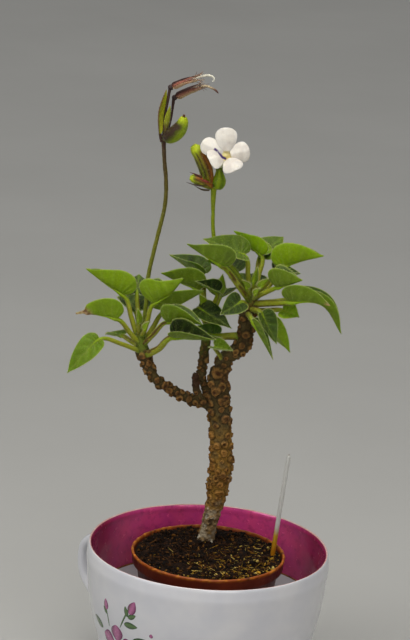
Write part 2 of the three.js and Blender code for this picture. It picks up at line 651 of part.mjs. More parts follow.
const leaves = {
  left: [
    {
      bearing: 160, height: 141, neck: [-36, 2, 154.5], tip: [-51, 4, 164], up: [0.45, 0.2, 0.9],
      halfWidth: 9, fold: 60,
    },
    {
      bearing: -25, height: 141.5, neck: [-26, -3.8, 154], tip: [-15.5, -4.5, 165], up: [-0.6, 0.4, 0.7],
      halfWidth: 9.5, fold: 64, arch: -1,
    },
    {
      bearing: 105, height: 140, neck: [-31.5, 8.5, 154.5], tip: [-31.5, 20.5, 159], up: [0, 0, 1],
      halfWidth: 6.5, fold: 5,
    },
    {
      bearing: 215, height: 138.5, neck: [-37.5, -5, 148], tip: [-53.5, -6, 150], up: [0.15, 0.4, 1],
      halfWidth: 8.5, fold: 58, arch: 0.8,
    },
    {
      bearing: 212, height: 135.5, neck: [-43.5, -8, 141.5], tip: [-55, -12, 129], up: [-0.35, -0.85, 0.4],
      halfWidth: 5.5, fold: 15, arch: 1.5, bow: [0, 0, 0.5], stalk: 0.8,
    },
    {
      bearing: 125, height: 136.5, neck: [-36.5, 9, 138], tip: [-43, 15, 136.5], up: [0, 0, 1],
      halfWidth: 4.5, fold: 20,
    },
    {
      bearing: -40, height: 138.5, neck: [-21, -8, 149], tip: [1, -13, 149.5], up: [-0.35, 0.25, 0.95],
      halfWidth: 8.5, fold: 50, arch: 0.8,
    },
    {
      bearing: 30, height: 139, neck: [-22.5, 4, 149], tip: [-7.5, 1, 159.5], up: [-0.5, 0.35, 0.85],
      halfWidth: 7, fold: 48,
    },
    {
      bearing: -42, height: 134.5, neck: [-18.5, -11, 144.5], tip: [-2, -15, 146], up: [0, -0.45, 0.9],
      halfWidth: 5.5, fold: 45, stalk: 1.2, bow: [0, 0, -1],
    },
    {
      bearing: 85, height: 137, neck: [-32, 13, 145.5], tip: [-37, 26, 149], up: [0, 0, 1],
      halfWidth: 7.5, fold: 35,
    },
  ],
  middle: [
    {
      bearing: 233, height: 145, neck: [-9.5, 5, 151.5], tip: [3, -1, 146.5], up: [0.2, -0.5, 0.8],
      halfWidth: 6.5, fold: 30,
    },
    {
      bearing: 165, height: 146, neck: [-9, 9.5, 156.5], tip: [-24, 12, 162], up: [0, 0.35, 1],
      halfWidth: 7.5, fold: 48,
    },
    {
      bearing: 100, height: 144.5, neck: [-9, 19.5, 159.5], tip: [-21.5, 23.5, 166], up: [0.2, 0, 1],
      halfWidth: 6.5, fold: 38,
    },
    {
      bearing: 10, height: 146, neck: [-2, 5.5, 157.5], tip: [-10.5, 1.5, 163], up: [0.1, -0.5, 0.85],
      halfWidth: 4.5, fold: 40,
    },
    {
      bearing: 60, height: 143, neck: [-2, 18, 152], tip: [1, 29, 153], up: [0, 0, 1],
      halfWidth: 7, fold: 35,
    },
  ],
  right: [
    {
      bearing: 219, height: 157, neck: [-0.5, -7.5, 170.3], tip: [-15, -12.5, 180], up: [0.1, 0.35, 1],
      halfWidth: 7, fold: 46,
    },
    {
      bearing: 205, height: 159.3, neck: [6.5, 2.1, 172.6], tip: [-9.5, 1.6, 178.5], up: [0, -0.3, 0.95],
      halfWidth: 7, fold: 16,
    },
    {
      bearing: 58, height: 159, neck: [12.5, 9, 171], tip: [1.5, 15, 178.8], up: [0.05, 0, 1],
      halfWidth: 6, fold: 30,
    },
    {
      bearing: 80, height: 157, neck: [11, 14, 169.5], tip: [18, 22, 174.5], up: [0, -0.2, 0.95],
      halfWidth: 6, fold: 15,
    },
    {
      bearing: -6, height: 158.6, neck: [18.5, 1, 169], tip: [34.5, 0, 175.5], up: [-0.45, 0.4, 0.9],
      halfWidth: 9, fold: 58, arch: 0.8,
    },
    {
      bearing: -52, height: 158.2, neck: [17.5, -8, 164.5], tip: [27, -11, 169], up: [-0.45, 0.3, 0.9],
      halfWidth: 7.5, fold: 60,
    },
    {
      bearing: 42, height: 156.5, neck: [18.5, 11, 163], tip: [27, 16, 164], up: [-0.1, -0.3, 0.95],
      halfWidth: 6, fold: 42,
    },
    {
      bearing: -36, height: 155.5, neck: [22, -8, 159.5], tip: [37.5, -12, 160.5], up: [0, 0.35, 1],
      halfWidth: 6.5, fold: 55, arch: 1, stalk: 1.2,
    },
    {
      bearing: 4, height: 155.5, neck: [24, 3, 157.5], tip: [43, 2, 146], up: [0.4, 0, 1],
      halfWidth: 6, fold: 55, arch: 5,
    },
    {
      bearing: -20, height: 152.8, neck: [20.5, -2.5, 155], tip: [27, -5, 153.5], up: [0, -0.7, 0.7],
      halfWidth: 4.5, fold: 30,
    },
    {
      bearing: -70, height: 153.8, neck: [13, -7, 155], tip: [19.5, -9, 144], up: [0.5, -0.8, 0.3],
      halfWidth: 4.8, fold: 22,
    },
    {
      bearing: -95, height: 152, neck: [10, -9, 152.5], tip: [18, -13.5, 140], up: [0.85, -0.2, 0.5],
      halfWidth: 4, fold: 40,
    },
    {
      bearing: 31, height: 152.5, neck: [15, 5, 149.5], tip: [25, 3, 137.5], up: [0.6, 0.7, 0.4],
      halfWidth: 5, fold: 15,
    },
    {
      bearing: 242, height: 154.5, neck: [6, -4, 157.5], tip: [-1.5, -8.5, 153.5], up: [-0.2, -0.85, 0.45],
      halfWidth: 6, fold: 15,
    },
    {
      bearing: 125, height: 156.5, neck: [4, 13, 163], tip: [-8, 19, 166], up: [0, 0, 1],
      halfWidth: 6.5, fold: 40,
    },
    {
      bearing: 105, height: 154, neck: [8, 15, 156.5], tip: [8, 29, 159], up: [0, 0, 1],
      halfWidth: 7.5, fold: 32,
    },
    {
      bearing: 160, height: 158, neck: [-1.5, 7.6, 167], tip: [-9.5, 10, 171.5], up: [0.3, 0, 0.95],
      halfWidth: 5, fold: 55,
    },
  ],
  inner: [
    {
      foot: [5.6, 3.2, 142.5], neck: [-1.5, 3, 142], tip: [-12.5, 1, 145], up: [0, -0.4, 0.9],
      halfWidth: 5, fold: 35, stalk: 1.1,
    },
    {
      foot: [0.5, 3.6, 133], neck: [-2.6, -1.4, 139], tip: [4, -6, 139.6], up: [-0.3, -0.4, 0.85],
      halfWidth: 3.2, fold: 40, stalk: 0.7,
    },
  ],
};

const seats = union([stemClearance, stalkClearance]);

for (const [crownName, rows] of Object.entries(leaves)) {
  rows.forEach((row, index) => {
    const foot = row.foot ?? footOn(crowns[crownName], row.bearing, row.height);
    const solid = toSolid(bladeGeometry({ ...row, foot })).subtract(seats);
    add(`leaf_${crownName}_${String(index + 1).padStart(2, '0')}`, fromSolid(solid), LEAF_GREEN);
  });
}

export default potted;
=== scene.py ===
import math
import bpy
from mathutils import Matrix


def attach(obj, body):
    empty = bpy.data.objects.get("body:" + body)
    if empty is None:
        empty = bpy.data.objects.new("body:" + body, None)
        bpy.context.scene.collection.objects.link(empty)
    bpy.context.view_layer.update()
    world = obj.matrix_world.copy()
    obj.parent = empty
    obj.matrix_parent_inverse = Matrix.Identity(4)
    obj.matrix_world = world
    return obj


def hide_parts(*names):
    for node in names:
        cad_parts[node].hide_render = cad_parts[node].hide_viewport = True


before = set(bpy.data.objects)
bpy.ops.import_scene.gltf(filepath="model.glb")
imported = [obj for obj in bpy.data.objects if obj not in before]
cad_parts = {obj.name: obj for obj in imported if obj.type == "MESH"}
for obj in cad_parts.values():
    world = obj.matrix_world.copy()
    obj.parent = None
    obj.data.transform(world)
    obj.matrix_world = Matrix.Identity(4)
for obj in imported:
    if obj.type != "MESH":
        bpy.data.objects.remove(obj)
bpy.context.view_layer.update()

import zlib

import bpy
import numpy as np
from mathutils import Matrix, Vector

# A potted Deinostigma tamiana in a teacup. Lengths are millimetres until a mesh is made, and angles are
# degrees where a name or a comment says so. +X is right, +Y back and +Z up, as the photograph sees the plant.
MM = 0.001
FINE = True
FULL_TURN = 6.28
HAIR_SHARE = 1 if FINE else 0.3
DOWN_RADIUS, MARGIN_HAIR_RADIUS = 0.035, 0.045


# Numbers and vectors


def seeded(name):
    return np.random.default_rng(zlib.crc32(name.encode()))


def unit(v):
    v = np.asarray(v, float)
    return v / np.maximum(np.linalg.norm(v, axis=-1, keepdims=True), 1e-9)


def smooth(low, high, x):
    t = np.clip((np.asarray(x, float) - low) / (high - low), 0, 1)
    return t * t * (3 - 2 * t)


def mix(a, b, share):
    share = np.asarray(share, float)
    if share.ndim:
        share = share[..., None]
    return np.asarray(a, float) * (1 - share) + np.asarray(b, float) * share


def srgb(red, green, blue):
    c = np.array([red, green, blue], float) / 255
    return np.where(c <= 0.04045, c / 12.92, ((c + 0.055) / 1.055) ** 2.4)


def lattice(cell, seed):
    """A fixed number from -1 to 1 for each whole-numbered cell"""
    x, y, z = (cell[..., k].astype(np.int64) for k in range(3))
    h = (x * 73856093 ^ y * 19349663 ^ z * 83492791 ^ (seed + 1) * 2654435761) & 0xFFFFFFFF
    h = ((h ^ (h >> 13)) * 1274126177) & 0xFFFFFFFF
    h = ((h ^ (h >> 16)) * 2246822519) & 0xFFFFFFFF
    return (h ^ (h >> 15)) / 0x7FFFFFFF - 1


def noise(points, size, seed=0, octaves=1):
    """Smooth noise from about -1 to 1, with lumps of this size in millimetres; the seed picks its pattern"""
    total = np.zeros(points.shape[:-1])
    for octave in range(octaves):
        p = points * (2**octave / size)
        cell = np.floor(p)
        w = p - cell
        w = w * w * (3 - 2 * w)
        value = 0
        for dx in (0, 1):
            for dy in (0, 1):
                for dz in (0, 1):
                    share = (
                        (w[..., 0] if dx else 1 - w[..., 0])
                        * (w[..., 1] if dy else 1 - w[..., 1])
                        * (w[..., 2] if dz else 1 - w[..., 2])
                    )
                    value = value + share * lattice(cell + (dx, dy, dz), seed + 31 * octave)
        total += value / 2**octave
    return total


def along(points, t):
    """Points of a centripetal Catmull-Rom curve, with t from 0 to 1 spread evenly over its spans"""
    p = np.asarray(points, float)
    spans = len(p) - 1
    padded = np.vstack([2 * p[0] - p[1], p, 2 * p[-1] - p[-2]])
    x = np.clip(np.asarray(t, float), 0, 1) * spans
    span = np.minimum(x.astype(int), spans - 1)
    w = (x - span)[..., None]
    a, b, c, d = (padded[span + k] for k in range(4))

    def gap(u, v):
        return np.maximum(np.linalg.norm(u - v, axis=-1, keepdims=True) ** 0.5, 1e-4)

    ab, bc, cd = gap(a, b), gap(b, c), gap(c, d)
    m0 = ((b - a) / ab - (c - a) / (ab + bc) + (c - b) / bc) * bc
    m1 = ((c - b) / bc - (d - b) / (bc + cd) + (d - c) / cd) * bc
    return b + m0 * w + (3 * (c - b) - 2 * m0 - m1) * w**2 + (2 * (b - c) + m0 + m1) * w**3


def heading(points, t):
    """Unit directions of the curve that along() draws"""
    step = 1e-3
    t = np.clip(np.asarray(t, float), step, 1 - step)
    return unit(along(points, t + step) - along(points, t - step))


def at_fraction(values, t):
    return np.interp(t, np.linspace(0, 1, len(values)), values)


def turned(degrees):
    """The level unit vector at a bearing"""
    return np.array([math.cos(math.radians(degrees)), math.sin(math.radians(degrees)), 0.0])


def round_angles(sides):
    """Angles in radians that share a whole turn evenly"""
    return 2 * np.pi * np.arange(sides) / sides


def row_wise(values, sides):
    """One value for each ring, repeated round it"""
    return np.asarray(values)[:, None] * np.ones((1, sides))


def frames(line):
    """Unit tangents of a polyline and two normals that turn as little as they can"""
    tangents = unit(np.gradient(line, axis=0))
    seed = np.eye(3)[np.argmin(np.abs(tangents[0]))]
    across = [unit(np.cross(seed, tangents[0]))]
    for tangent in tangents[1:]:
        across.append(unit(across[-1] - tangent * np.dot(across[-1], tangent)))
    across = np.array(across)
    return tangents, across, np.cross(tangents, across)


# Shapes: each is its points in millimetres, its triangles and a tint for each point


def joined(shapes):
    shift = 0
    points, triangles, tints = [], [], []
    for p, f, c in shapes:
        points.append(p)
        triangles.append(f + shift)
        tints.append(c)
        shift += len(p)
    return np.vstack(points), np.vstack(triangles), np.vstack(tints)


def oriented(points, faces):
    """The triangles, turned so that a solid's faces look outwards"""
    a, b, c = (points[faces[:, k]] for k in range(3))
    return faces[:, ::-1] if (np.cross(a, b) * c).sum() < 0 else faces


def skin(rings, tints, start=None, end=None):
    """A closed skin over rings of points, with a pole at each end"""
    count, sides = rings.shape[:2]
    start = rings[0].mean(0) if start is None else start
    end = rings[-1].mean(0) if end is None else end
    points = np.vstack([rings.reshape(-1, 3), [start, end]])
    tints = np.broadcast_to(np.asarray(tints, float), rings.shape)
    colours = np.vstack([tints.reshape(-1, 3), [tints[0].mean(0), tints[-1].mean(0)]])
    i, j = np.meshgrid(np.arange(count - 1), np.arange(sides), indexing="ij")
    a = (i * sides + j).ravel()
    b = (i * sides + (j + 1) % sides).ravel()
    c, d = b + sides, a + sides
    k = np.arange(sides)
    n = (k + 1) % sides
    last = (count - 1) * sides
    first_pole = np.full(sides, count * sides)
    faces = np.vstack([
        np.stack([a, b, c], 1),
        np.stack([a, c, d], 1),
        np.stack([first_pole, n, k], 1),
        np.stack([first_pole + 1, last + k, last + n], 1),
    ])
    return points, oriented(points, faces), colours


def spokes(line, sides):
    """Unit vectors that stand out from each point of a polyline, all the way round it"""
    _, across, upward = frames(line)
    angle = round_angles(sides)
    return across[:, None] * np.cos(angle)[:, None] + upward[:, None] * np.sin(angle)[:, None]


def ring_points(line, radii, sides):
    """Rings of points round a polyline; radii is one per ring, or one per ring and side"""
    radii = np.asarray(radii, float).reshape(len(line), -1)
    return line[:, None] + spokes(line, sides) * radii[..., None]


def two_faced(top, under, top_tints, under_tints, start=None, end=None):
    """A closed blade from the grids of its two faces; the under one's outermost columns are left out"""
    rings = np.concatenate([top, under[:, -2:0:-1]], 1)
    return skin(rings, np.concatenate([top_tints, under_tints[:, -2:0:-1]], 1), start, end)


def raised(rings, line, height):
    """Rings moved away from their middle line by a height at each point"""
    return rings + unit(rings - line[:, None]) * height[..., None]


def sweep(points, radii, sides, rings, tint, lumps=0.0, seed=0):
    """A closed round stalk along a curve, with its radii spread evenly along it"""
    t = np.linspace(0, 1, rings)
    line = along(points, t)
    skin_rings = ring_points(line, at_fraction(radii, t), sides)
    if lumps:
        skin_rings = raised(skin_rings, line, lumps * noise(skin_rings, 1.6, seed, 2))
    return skin(skin_rings, tint)


def lathe(profile, sides, tint):
    """A turned solid; the profile is radius and height from one pole on the axis to the other"""
    profile = np.asarray(profile, float)
    angle = round_angles(sides)
    inner = profile[1:-1]
    rings = np.stack([
        inner[:, :1] * np.cos(angle),
        inner[:, :1] * np.sin(angle),
        np.broadcast_to(inner[:, 1:], (len(inner), sides)),
    ], -1)
    ends = [np.array([0, 0, profile[k][1]]) for k in (0, -1)]
    return skin(rings, tint, ends[0], ends[1])


def smooth_profile(points, steps):
    flat = np.array([(r, 0, z) for r, z in points], float)
    return along(flat, np.linspace(0, 1, steps))[:, [0, 2]]


def face_data(points, faces):
    a, b, c = (points[faces[:, k]] for k in range(3))
    cross = np.cross(b - a, c - a)
    return a, b, c, unit(cross), np.linalg.norm(cross, axis=1)


def hairs(roots, directions, lengths, radius, tint, rng):
    """Fine hairs, each a three-sided spike"""
    count = len(roots)
    directions = unit(directions)
    side = unit(np.cross(directions, unit(rng.normal(size=(count, 3)))))
    other = np.cross(directions, side)
    base = roots - directions * 0.03
    points = np.empty((count, 4, 3))
    for k in range(3):
        angle = 2 * np.pi * k / 3
        points[:, k] = base + radius * (side * math.cos(angle) + other * math.sin(angle))
    points[:, 3] = roots + directions * np.asarray(lengths)[:, None]
    first = 4 * np.arange(count)[:, None]
    faces = np.concatenate([first + (0, 1, 3), first + (1, 2, 3), first + (2, 0, 3), first + (0, 2, 1)])
    tints = np.broadcast_to(np.asarray(tint, float), (count * 4, 3))
    return points.reshape(-1, 3), faces, tints


def down(shape, per_mm2, length, rng, tint):
    """Short hairs spread evenly over a shape"""
    a, b, c, normal, size = face_data(shape[0], shape[1])
    count = max(3, int(size.sum() / 2 * per_mm2 * HAIR_SHARE))
    pick = rng.choice(len(size), count, p=size / size.sum())
    u, v = rng.random(count), rng.random(count)
    over = u + v > 1
    u[over], v[over] = 1 - u[over], 1 - v[over]
    roots = a[pick] + (b[pick] - a[pick]) * u[:, None] + (c[pick] - a[pick]) * v[:, None]
    directions = normal[pick] + 0.45 * rng.normal(size=(count, 3))
    return hairs(roots, directions, length * rng.uniform(0.5, 1.2, count), DOWN_RADIUS, tint, rng)


# Blender objects


def add_piece(name, shape, materials, replaces=(), face_material=None, flat=False):
    points, faces, tints = shape
    mesh = bpy.data.meshes.new(name)
    mesh.vertices.add(len(points))
    mesh.vertices.foreach_set("co", (points * MM).astype(np.float32).ravel())
    mesh.loops.add(faces.size)
    mesh.loops.foreach_set("vertex_index", faces.astype(np.int32).ravel())
    mesh.polygons.add(len(faces))
    mesh.polygons.foreach_set("loop_start", np.arange(0, faces.size, 3, dtype=np.int32))
    for material in materials:
        mesh.materials.append(material)
    if face_material is not None:
        mesh.polygons.foreach_set("material_index", face_material.astype(np.int32))
    mesh.update(calc_edges=True)
    mesh.validate()
    mesh.polygons.foreach_set("use_smooth", np.full(len(mesh.polygons), not flat))
    colour = mesh.color_attributes.new("tint", "FLOAT_COLOR", "POINT")
    rgba = np.concatenate([tints, np.ones((len(tints), 1))], 1).astype(np.float32)
    colour.data.foreach_set("color", rgba.ravel())
    piece = bpy.data.objects.new(name, mesh)
    bpy.context.scene.collection.objects.link(piece)
    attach(piece, "root")
    if replaces:
        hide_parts(*replaces)
    return piece


NOISE_ROUGHNESS = 0.55
# Sockets of a node that mixes two colours
MIX_SHARE, MIX_FIRST, MIX_SECOND, MIX_RESULT = 0, 6, 7, 2


class Surface:
    """A material round one Principled shader, with helpers for the nodes that feed it"""

    def __init__(self, name, **sockets):
        self.material = bpy.data.materials.new(name)
        self.material.use_nodes = True
        self.tree = self.material.node_tree
        self.shader = self.tree.nodes["Principled BSDF"]
        self.place = self.tree.nodes.new("ShaderNodeTexCoord").outputs["Object"]
        for socket, value in sockets.items():
            self.shader.inputs[socket.replace("_", " ")].default_value = value

    def node(self, kind, inputs=None, **settings):
        made = self.tree.nodes.new(kind)
        for key, value in settings.items():
            setattr(made, key, value)
        for key, value in (inputs or {}).items():
            if isinstance(value, bpy.types.NodeSocket):
                self.tree.links.new(value, made.inputs[key])
            else:
                made.inputs[key].default_value = value
        return made

    def noise(self, size, detail=3.0):
        """Noise with lumps of about this size in millimetres"""
        inputs = {"Vector": self.place, "Scale": 1 / (size * MM)}
        inputs.update({"Detail": detail, "Roughness": NOISE_ROUGHNESS})
        return self.node("ShaderNodeTexNoise", inputs).outputs["Fac"]

    def cells(self, size):
        """The distance from the nearest of many scattered points, this many millimetres apart"""
        inputs = {"Vector": self.place, "Scale": 1 / (size * MM)}
        return self.node("ShaderNodeTexVoronoi", inputs).outputs["Distance"]

    def ranged(self, value, low, high, to_low, to_high):
        inputs = {"Value": value, "From Min": low, "From Max": high, "To Min": to_low, "To Max": to_high}
        return self.node("ShaderNodeMapRange", inputs).outputs["Result"]

    def maths(self, operation, first, second):
        return self.node("ShaderNodeMath", {0: first, 1: second}, operation=operation).outputs[0]

    def blended(self, share, first, second):
        made = self.node("ShaderNodeMix", data_type="RGBA")
        for index, value in ((MIX_SHARE, share), (MIX_FIRST, first), (MIX_SECOND, second)):
            if isinstance(value, bpy.types.NodeSocket):
                self.tree.links.new(value, made.inputs[index])
            else:
                made.inputs[index].default_value = (*value, 1) if np.ndim(value) else value
        return made.outputs[MIX_RESULT]

    def tint(self):
        return self.node("ShaderNodeAttribute", attribute_name="tint").outputs["Color"]

    def brightened(self, colour, factor):
        return self.node("ShaderNodeHueSaturation", {"Color": colour, "Value": factor}).outputs["Color"]

    def feed(self, socket, value):
        self.tree.links.new(value, self.shader.inputs[socket])

    def roughen(self, size, low, high, detail=3.0):
        """A roughness from low to high, in patches of about this size in millimetres"""
        self.feed("Roughness", self.ranged(self.noise(size, detail), 0.3, 0.7, low, high))

    def bumps(self, *layers):
        """Bumps the surface by pairs of a height and its depth in millimetres"""
        normal = None
        for height, depth in layers:
            made = self.node("ShaderNodeBump", {"Height": height, "Strength": 1.0, "Distance": depth * MM})
            if normal is not None:
                self.tree.links.new(normal, made.inputs["Normal"])
            normal = made.outputs["Normal"]
        self.feed("Normal", normal)


def tinted(name, mottle, rough, bumps, **sockets):
    """A material whose colour is each point's own tint, mottled. mottle is a size and an amount, rough is a
    size and the lowest and highest roughness, and bumps are pairs of a size and a depth."""
    made = Surface(name, **sockets)
    size, amount = mottle
    factor = made.ranged(made.noise(size), 0.3, 0.7, 1 - amount, 1 + amount)
    made.feed("Base Color", made.brightened(made.tint(), factor))
    made.roughen(*rough)
    made.bumps(*((made.noise(size), depth) for size, depth in bumps))
    return made.material


LEAF = tinted(
    "velvet_leaf", (0.9, 0.13), (1.2, 0.45, 0.62), ((0.35, 0.05), (1.3, 0.07)),
    Subsurface_Weight=0.45, Subsurface_Radius=(0.55, 1.0, 0.08), Subsurface_Scale=1.3 * MM,
    Sheen_Weight=0.05, Sheen_Roughness=0.4, Sheen_Tint=(0.85, 0.95, 0.6, 1), Specular_IOR_Level=0.2,
)
STALK = tinted(
    "downy_stalk", (0.8, 0.16), (0.9, 0.4, 0.6), ((0.3, 0.04), (1.1, 0.06)),
    Subsurface_Weight=0.25, Subsurface_Radius=(0.6, 1.0, 0.1), Subsurface_Scale=0.9 * MM,
    Sheen_Weight=0.05, Sheen_Roughness=0.4, Specular_IOR_Level=0.25,
)
BARK = tinted(
    "corky_bark", (0.45, 0.28), (0.8, 0.62, 0.9), ((0.28, 0.12), (0.9, 0.12)), Specular_IOR_Level=0.15,
)
PEAT = tinted(
    "peat_and_fibre", (0.5, 0.3), (0.7, 0.6, 0.95), ((0.22, 0.1), (0.6, 0.1)), Specular_IOR_Level=0.12,
)
POT = tinted(
    "red_brown_plastic", (2.2, 0.16), (1.6, 0.3, 0.55), ((0.5, 0.012), (4.0, 0.08)), Specular_IOR_Level=0.3,
)
PETAL = tinted(
    "white_petal", (0.5, 0.05), (0.4, 0.35, 0.6), ((0.22, 0.035), (0.8, 0.03)),
    Subsurface_Weight=0.5, Subsurface_Radius=(1.0, 0.95, 0.8), Subsurface_Scale=0.8 * MM,
    Sheen_Weight=0.2, Sheen_Roughness=0.3,
)
DRY = tinted("withered_flower", (0.4, 0.3), (0.5, 0.55, 0.85), ((0.25, 0.08), (0.8, 0.1)))
ROD = tinted(
    "milky_rod", (3.0, 0.06), (2.0, 0.25, 0.4), ((0.6, 0.01), (3.0, 0.03)),
    Subsurface_Weight=0.4, Subsurface_Radius=(1, 1, 1), Subsurface_Scale=1.0 * MM, Coat_Weight=0.2,
)
ENAMEL = tinted("painted_enamel", (0.7, 0.12), (1.0, 0.14, 0.3), ((0.6, 0.01), (2.0, 0.02)), Coat_Weight=0.4)


def porcelain():
    """White glaze with faint clouds and a few tiny specks"""
    made = Surface("white_porcelain", Coat_Weight=0.5, Coat_Roughness=0.06, Specular_IOR_Level=0.5)
    clouds = made.ranged(made.noise(14, 2), 0.35, 0.65, 0, 1)
    body = made.blended(clouds, srgb(216, 216, 222), srgb(226, 225, 228))
    specks = made.ranged(made.cells(2.6), 0.0, 0.045, 1, 0)
    made.feed("Base Color", made.blended(made.maths("MULTIPLY", specks, 0.25), body, srgb(150, 135, 120)))
    made.roughen(5, 0.1, 0.2, 2)
    made.bumps((made.noise(9, 2), 0.1), (made.noise(1.5, 2), 0.006))
    return made.material


def lustre():
    """The cup's glossy inside: magenta with purple smears, turned deeper crimson lower down and towards the
    front by painted shade
    """
    made = Surface("magenta_lustre", Coat_Weight=0.6, Coat_Roughness=0.06, Metallic=0.15)
    axes = made.node("ShaderNodeSeparateXYZ", {"Vector": made.place}).outputs
    clouds = made.ranged(made.noise(7, 3), 0.35, 0.65, 0, 1)
    # bright is the lit lustre and deep is its copy in painted shade
    bright = made.blended(clouds, srgb(255, 88, 156), srgb(238, 78, 158))
    deep = made.blended(clouds, srgb(128, 16, 40), srgb(132, 26, 62))
    # Painted shade: the lustre turns deep crimson lower down in the cup and on the front of its inside
    lower = made.ranged(axes["Z"], 0.042, 0.060, 1, 0)
    nearer = made.ranged(axes["Y"], 0.036, 0.018, 0, 1)
    painted_shade = made.maths("MAXIMUM", made.maths("MULTIPLY", lower, 0.6), made.maths("MULTIPLY", nearer, 0.8))
    base = made.blended(painted_shade, bright, deep)
    smears = made.ranged(made.noise(2.4, 4), 0.52, 0.75, 0, 0.4)
    made.feed("Base Color", made.blended(smears, base, srgb(92, 22, 62)))
    made.roughen(3, 0.12, 0.3)
    made.bumps((made.noise(6, 2), 0.22), (made.noise(1.8, 2), 0.03))
    return made.material


def gold():
    """The thin gilt line, rubbed to brown in places"""
    made = Surface("worn_gold_line", Metallic=0.7)
    wear = made.ranged(made.noise(1.6, 4), 0.45, 0.6, 0, 1)
    made.feed("Base Color", made.blended(wear, srgb(176, 112, 58), srgb(120, 66, 40)))
    made.roughen(0.8, 0.25, 0.5, 2)
    made.bumps((made.noise(0.5, 2), 0.01))
    return made.material


def rim_line():
    """The lip's thin pinkish band, a little paler where it is rubbed"""
    made = Surface("rubbed_rim_line", Coat_Weight=0.4, Coat_Roughness=0.1)
    wear = made.ranged(made.noise(7, 3), 0.4, 0.65, 0, 1)
    made.feed("Base Color", made.blended(wear, srgb(222, 170, 160), srgb(232, 196, 190)))
    made.roughen(1.2, 0.15, 0.35, 2)
    made.bumps((made.noise(1.0, 2), 0.012))
    return made.material


def floor_paint():
    made = Surface("pale_floor", Specular_IOR_Level=0.25)
    clouds = made.ranged(made.noise(180, 3), 0.3, 0.7, 0, 1)
    made.feed("Base Color", made.blended(clouds, srgb(182, 181, 177), srgb(187, 186, 182)))
    made.roughen(40, 0.7, 0.85)
    made.bumps((made.noise(3, 3), 0.03))
    return made.material


# Camera, light and floor

TILT, ROLL = math.radians(16.3), math.radians(3.7)
CAMERA_AIM = np.array([-6.75, 0, 148.7])
CAMERA_DISTANCE = 1000
SENSOR_HEIGHT, LENS = 24, 103.7
SKY, SKY_STRENGTH = (0.92, 0.95, 1.0, 1), 0.12
# The floor and the lights are in metres. Each light has a place, a size, a power in watts and a colour.
FLOOR_HALF = 7.0
LIGHTS_AIM = (0, 0, 0.13)
LIGHTS = {
    "ceiling": ((0, 0.4, 3.2), (5, 5), 58.0, (1.0, 0.99, 0.96)),
    "overhead": ((-0.12, -0.2, 0.72), (0.34, 0.26), 2.1, (1.0, 0.98, 0.93)),
    "window": ((-1.4, -0.9, 0.9), (0.8, 0.8), 5.0, (0.94, 0.97, 1.0)),
    "front": ((0.45, -1.5, 0.8), (0.9, 0.7), 6.0, (1.0, 0.98, 0.96)),
}


def look_at(target, place):
    """A world matrix at place whose -Z looks at target with +Y up"""
    back = Vector(place) - Vector(target)
    return Matrix.Translation(Vector(place)) @ back.to_track_quat("Z", "Y").to_matrix().to_4x4()


def make_camera():
    data = bpy.data.cameras.new("camera")
    data.sensor_fit = "VERTICAL"
    data.sensor_height, data.lens = SENSOR_HEIGHT, LENS
    data.clip_start, data.clip_end = 0.05, 60
    camera = bpy.data.objects.new("camera", data)
    bpy.context.scene.collection.objects.link(camera)
    away = np.array([0, -math.cos(TILT), math.sin(TILT)])
    seen_from = look_at(CAMERA_AIM * MM, (CAMERA_AIM + CAMERA_DISTANCE * away) * MM)
    camera.matrix_world = seen_from @ Matrix.Rotation(ROLL, 4, "Z")
    bpy.context.scene.camera = camera


def add_light(name, place, size, power, tint):
    data = bpy.data.lights.new(name, "AREA")
    data.shape = "RECTANGLE"
    data.size, data.size_y = size
    data.energy = power
    data.color = tint
    lamp = bpy.data.objects.new(name, data)
    bpy.context.scene.collection.objects.link(lamp)
    lamp.matrix_world = look_at(LIGHTS_AIM, place)


def make_stage():
    world = bpy.data.worlds.new("studio")
    bpy.context.scene.world = world
    world.use_nodes = True
    sky = world.node_tree.nodes["Background"].inputs
    sky["Color"].default_value, sky["Strength"].default_value = SKY, SKY_STRENGTH
    for name, light in LIGHTS.items():
        add_light(name, *light)
    mesh = bpy.data.meshes.new("floor")
    corners = [(x * FLOOR_HALF, y * FLOOR_HALF, 0) for x, y in ((-1, -1), (1, -1), (1, 1), (-1, 1))]
    mesh.from_pydata(corners, [], [(0, 1, 2, 3)])
    mesh.materials.append(floor_paint())
    floor = bpy.data.objects.new("floor", mesh)
    bpy.context.scene.collection.objects.link(floor)


make_camera()
make_stage()
bpy.context.scene.view_settings.view_transform = "Standard"


# Leaves. An outline gives the blade's edge as fractions of its length and of its half width, from where the
# petiole joins the keel, round the lobe at the base, to the tip. The spine says where each row leaves the
# midrib.

LEAF_OUTLINE = np.array([
    (0.10, 0.0), (0.03, 0.17), (-0.05, 0.42), (-0.04, 0.74), (0.06, 0.95), (0.20, 1.0),
    (0.38, 0.91), (0.56, 0.70), (0.74, 0.43), (0.89, 0.17), (1.0, 0.0),
])
PLAIN_OUTLINE = np.array([
    (0.05, 0.0), (0.03, 0.15), (0.02, 0.38), (0.05, 0.66), (0.13, 0.9), (0.26, 1.0),
    (0.42, 0.92), (0.6, 0.70), (0.77, 0.42), (0.90, 0.16), (1.0, 0.0),
])
LEAF_SPINE = (0.10, 0.10, 0.105, 0.11, 0.125, 0.16, 0.25, 0.40, 0.60, 0.83, 1.0)
BRACT_OUTLINE = np.array([
    (0.0, 0.0), (0.03, 0.25), (0.10, 0.48), (0.22, 0.75), (0.38, 0.98), (0.52, 1.0),
    (0.66, 0.86), (0.80, 0.58), (0.92, 0.25), (1.0, 0.0),
])
BRACT_SPINE = (0.0, 0.01, 0.05, 0.14, 0.27, 0.42, 0.57, 0.73, 0.88, 1.0)
PETAL_OUTLINE = np.array([
    (0.0, 0.0), (0.01, 0.40), (0.08, 0.60), (0.22, 0.76), (0.42, 0.93), (0.62, 1.0),
    (0.80, 0.94), (0.93, 0.66), (0.99, 0.32), (1.0, 0.0),
])
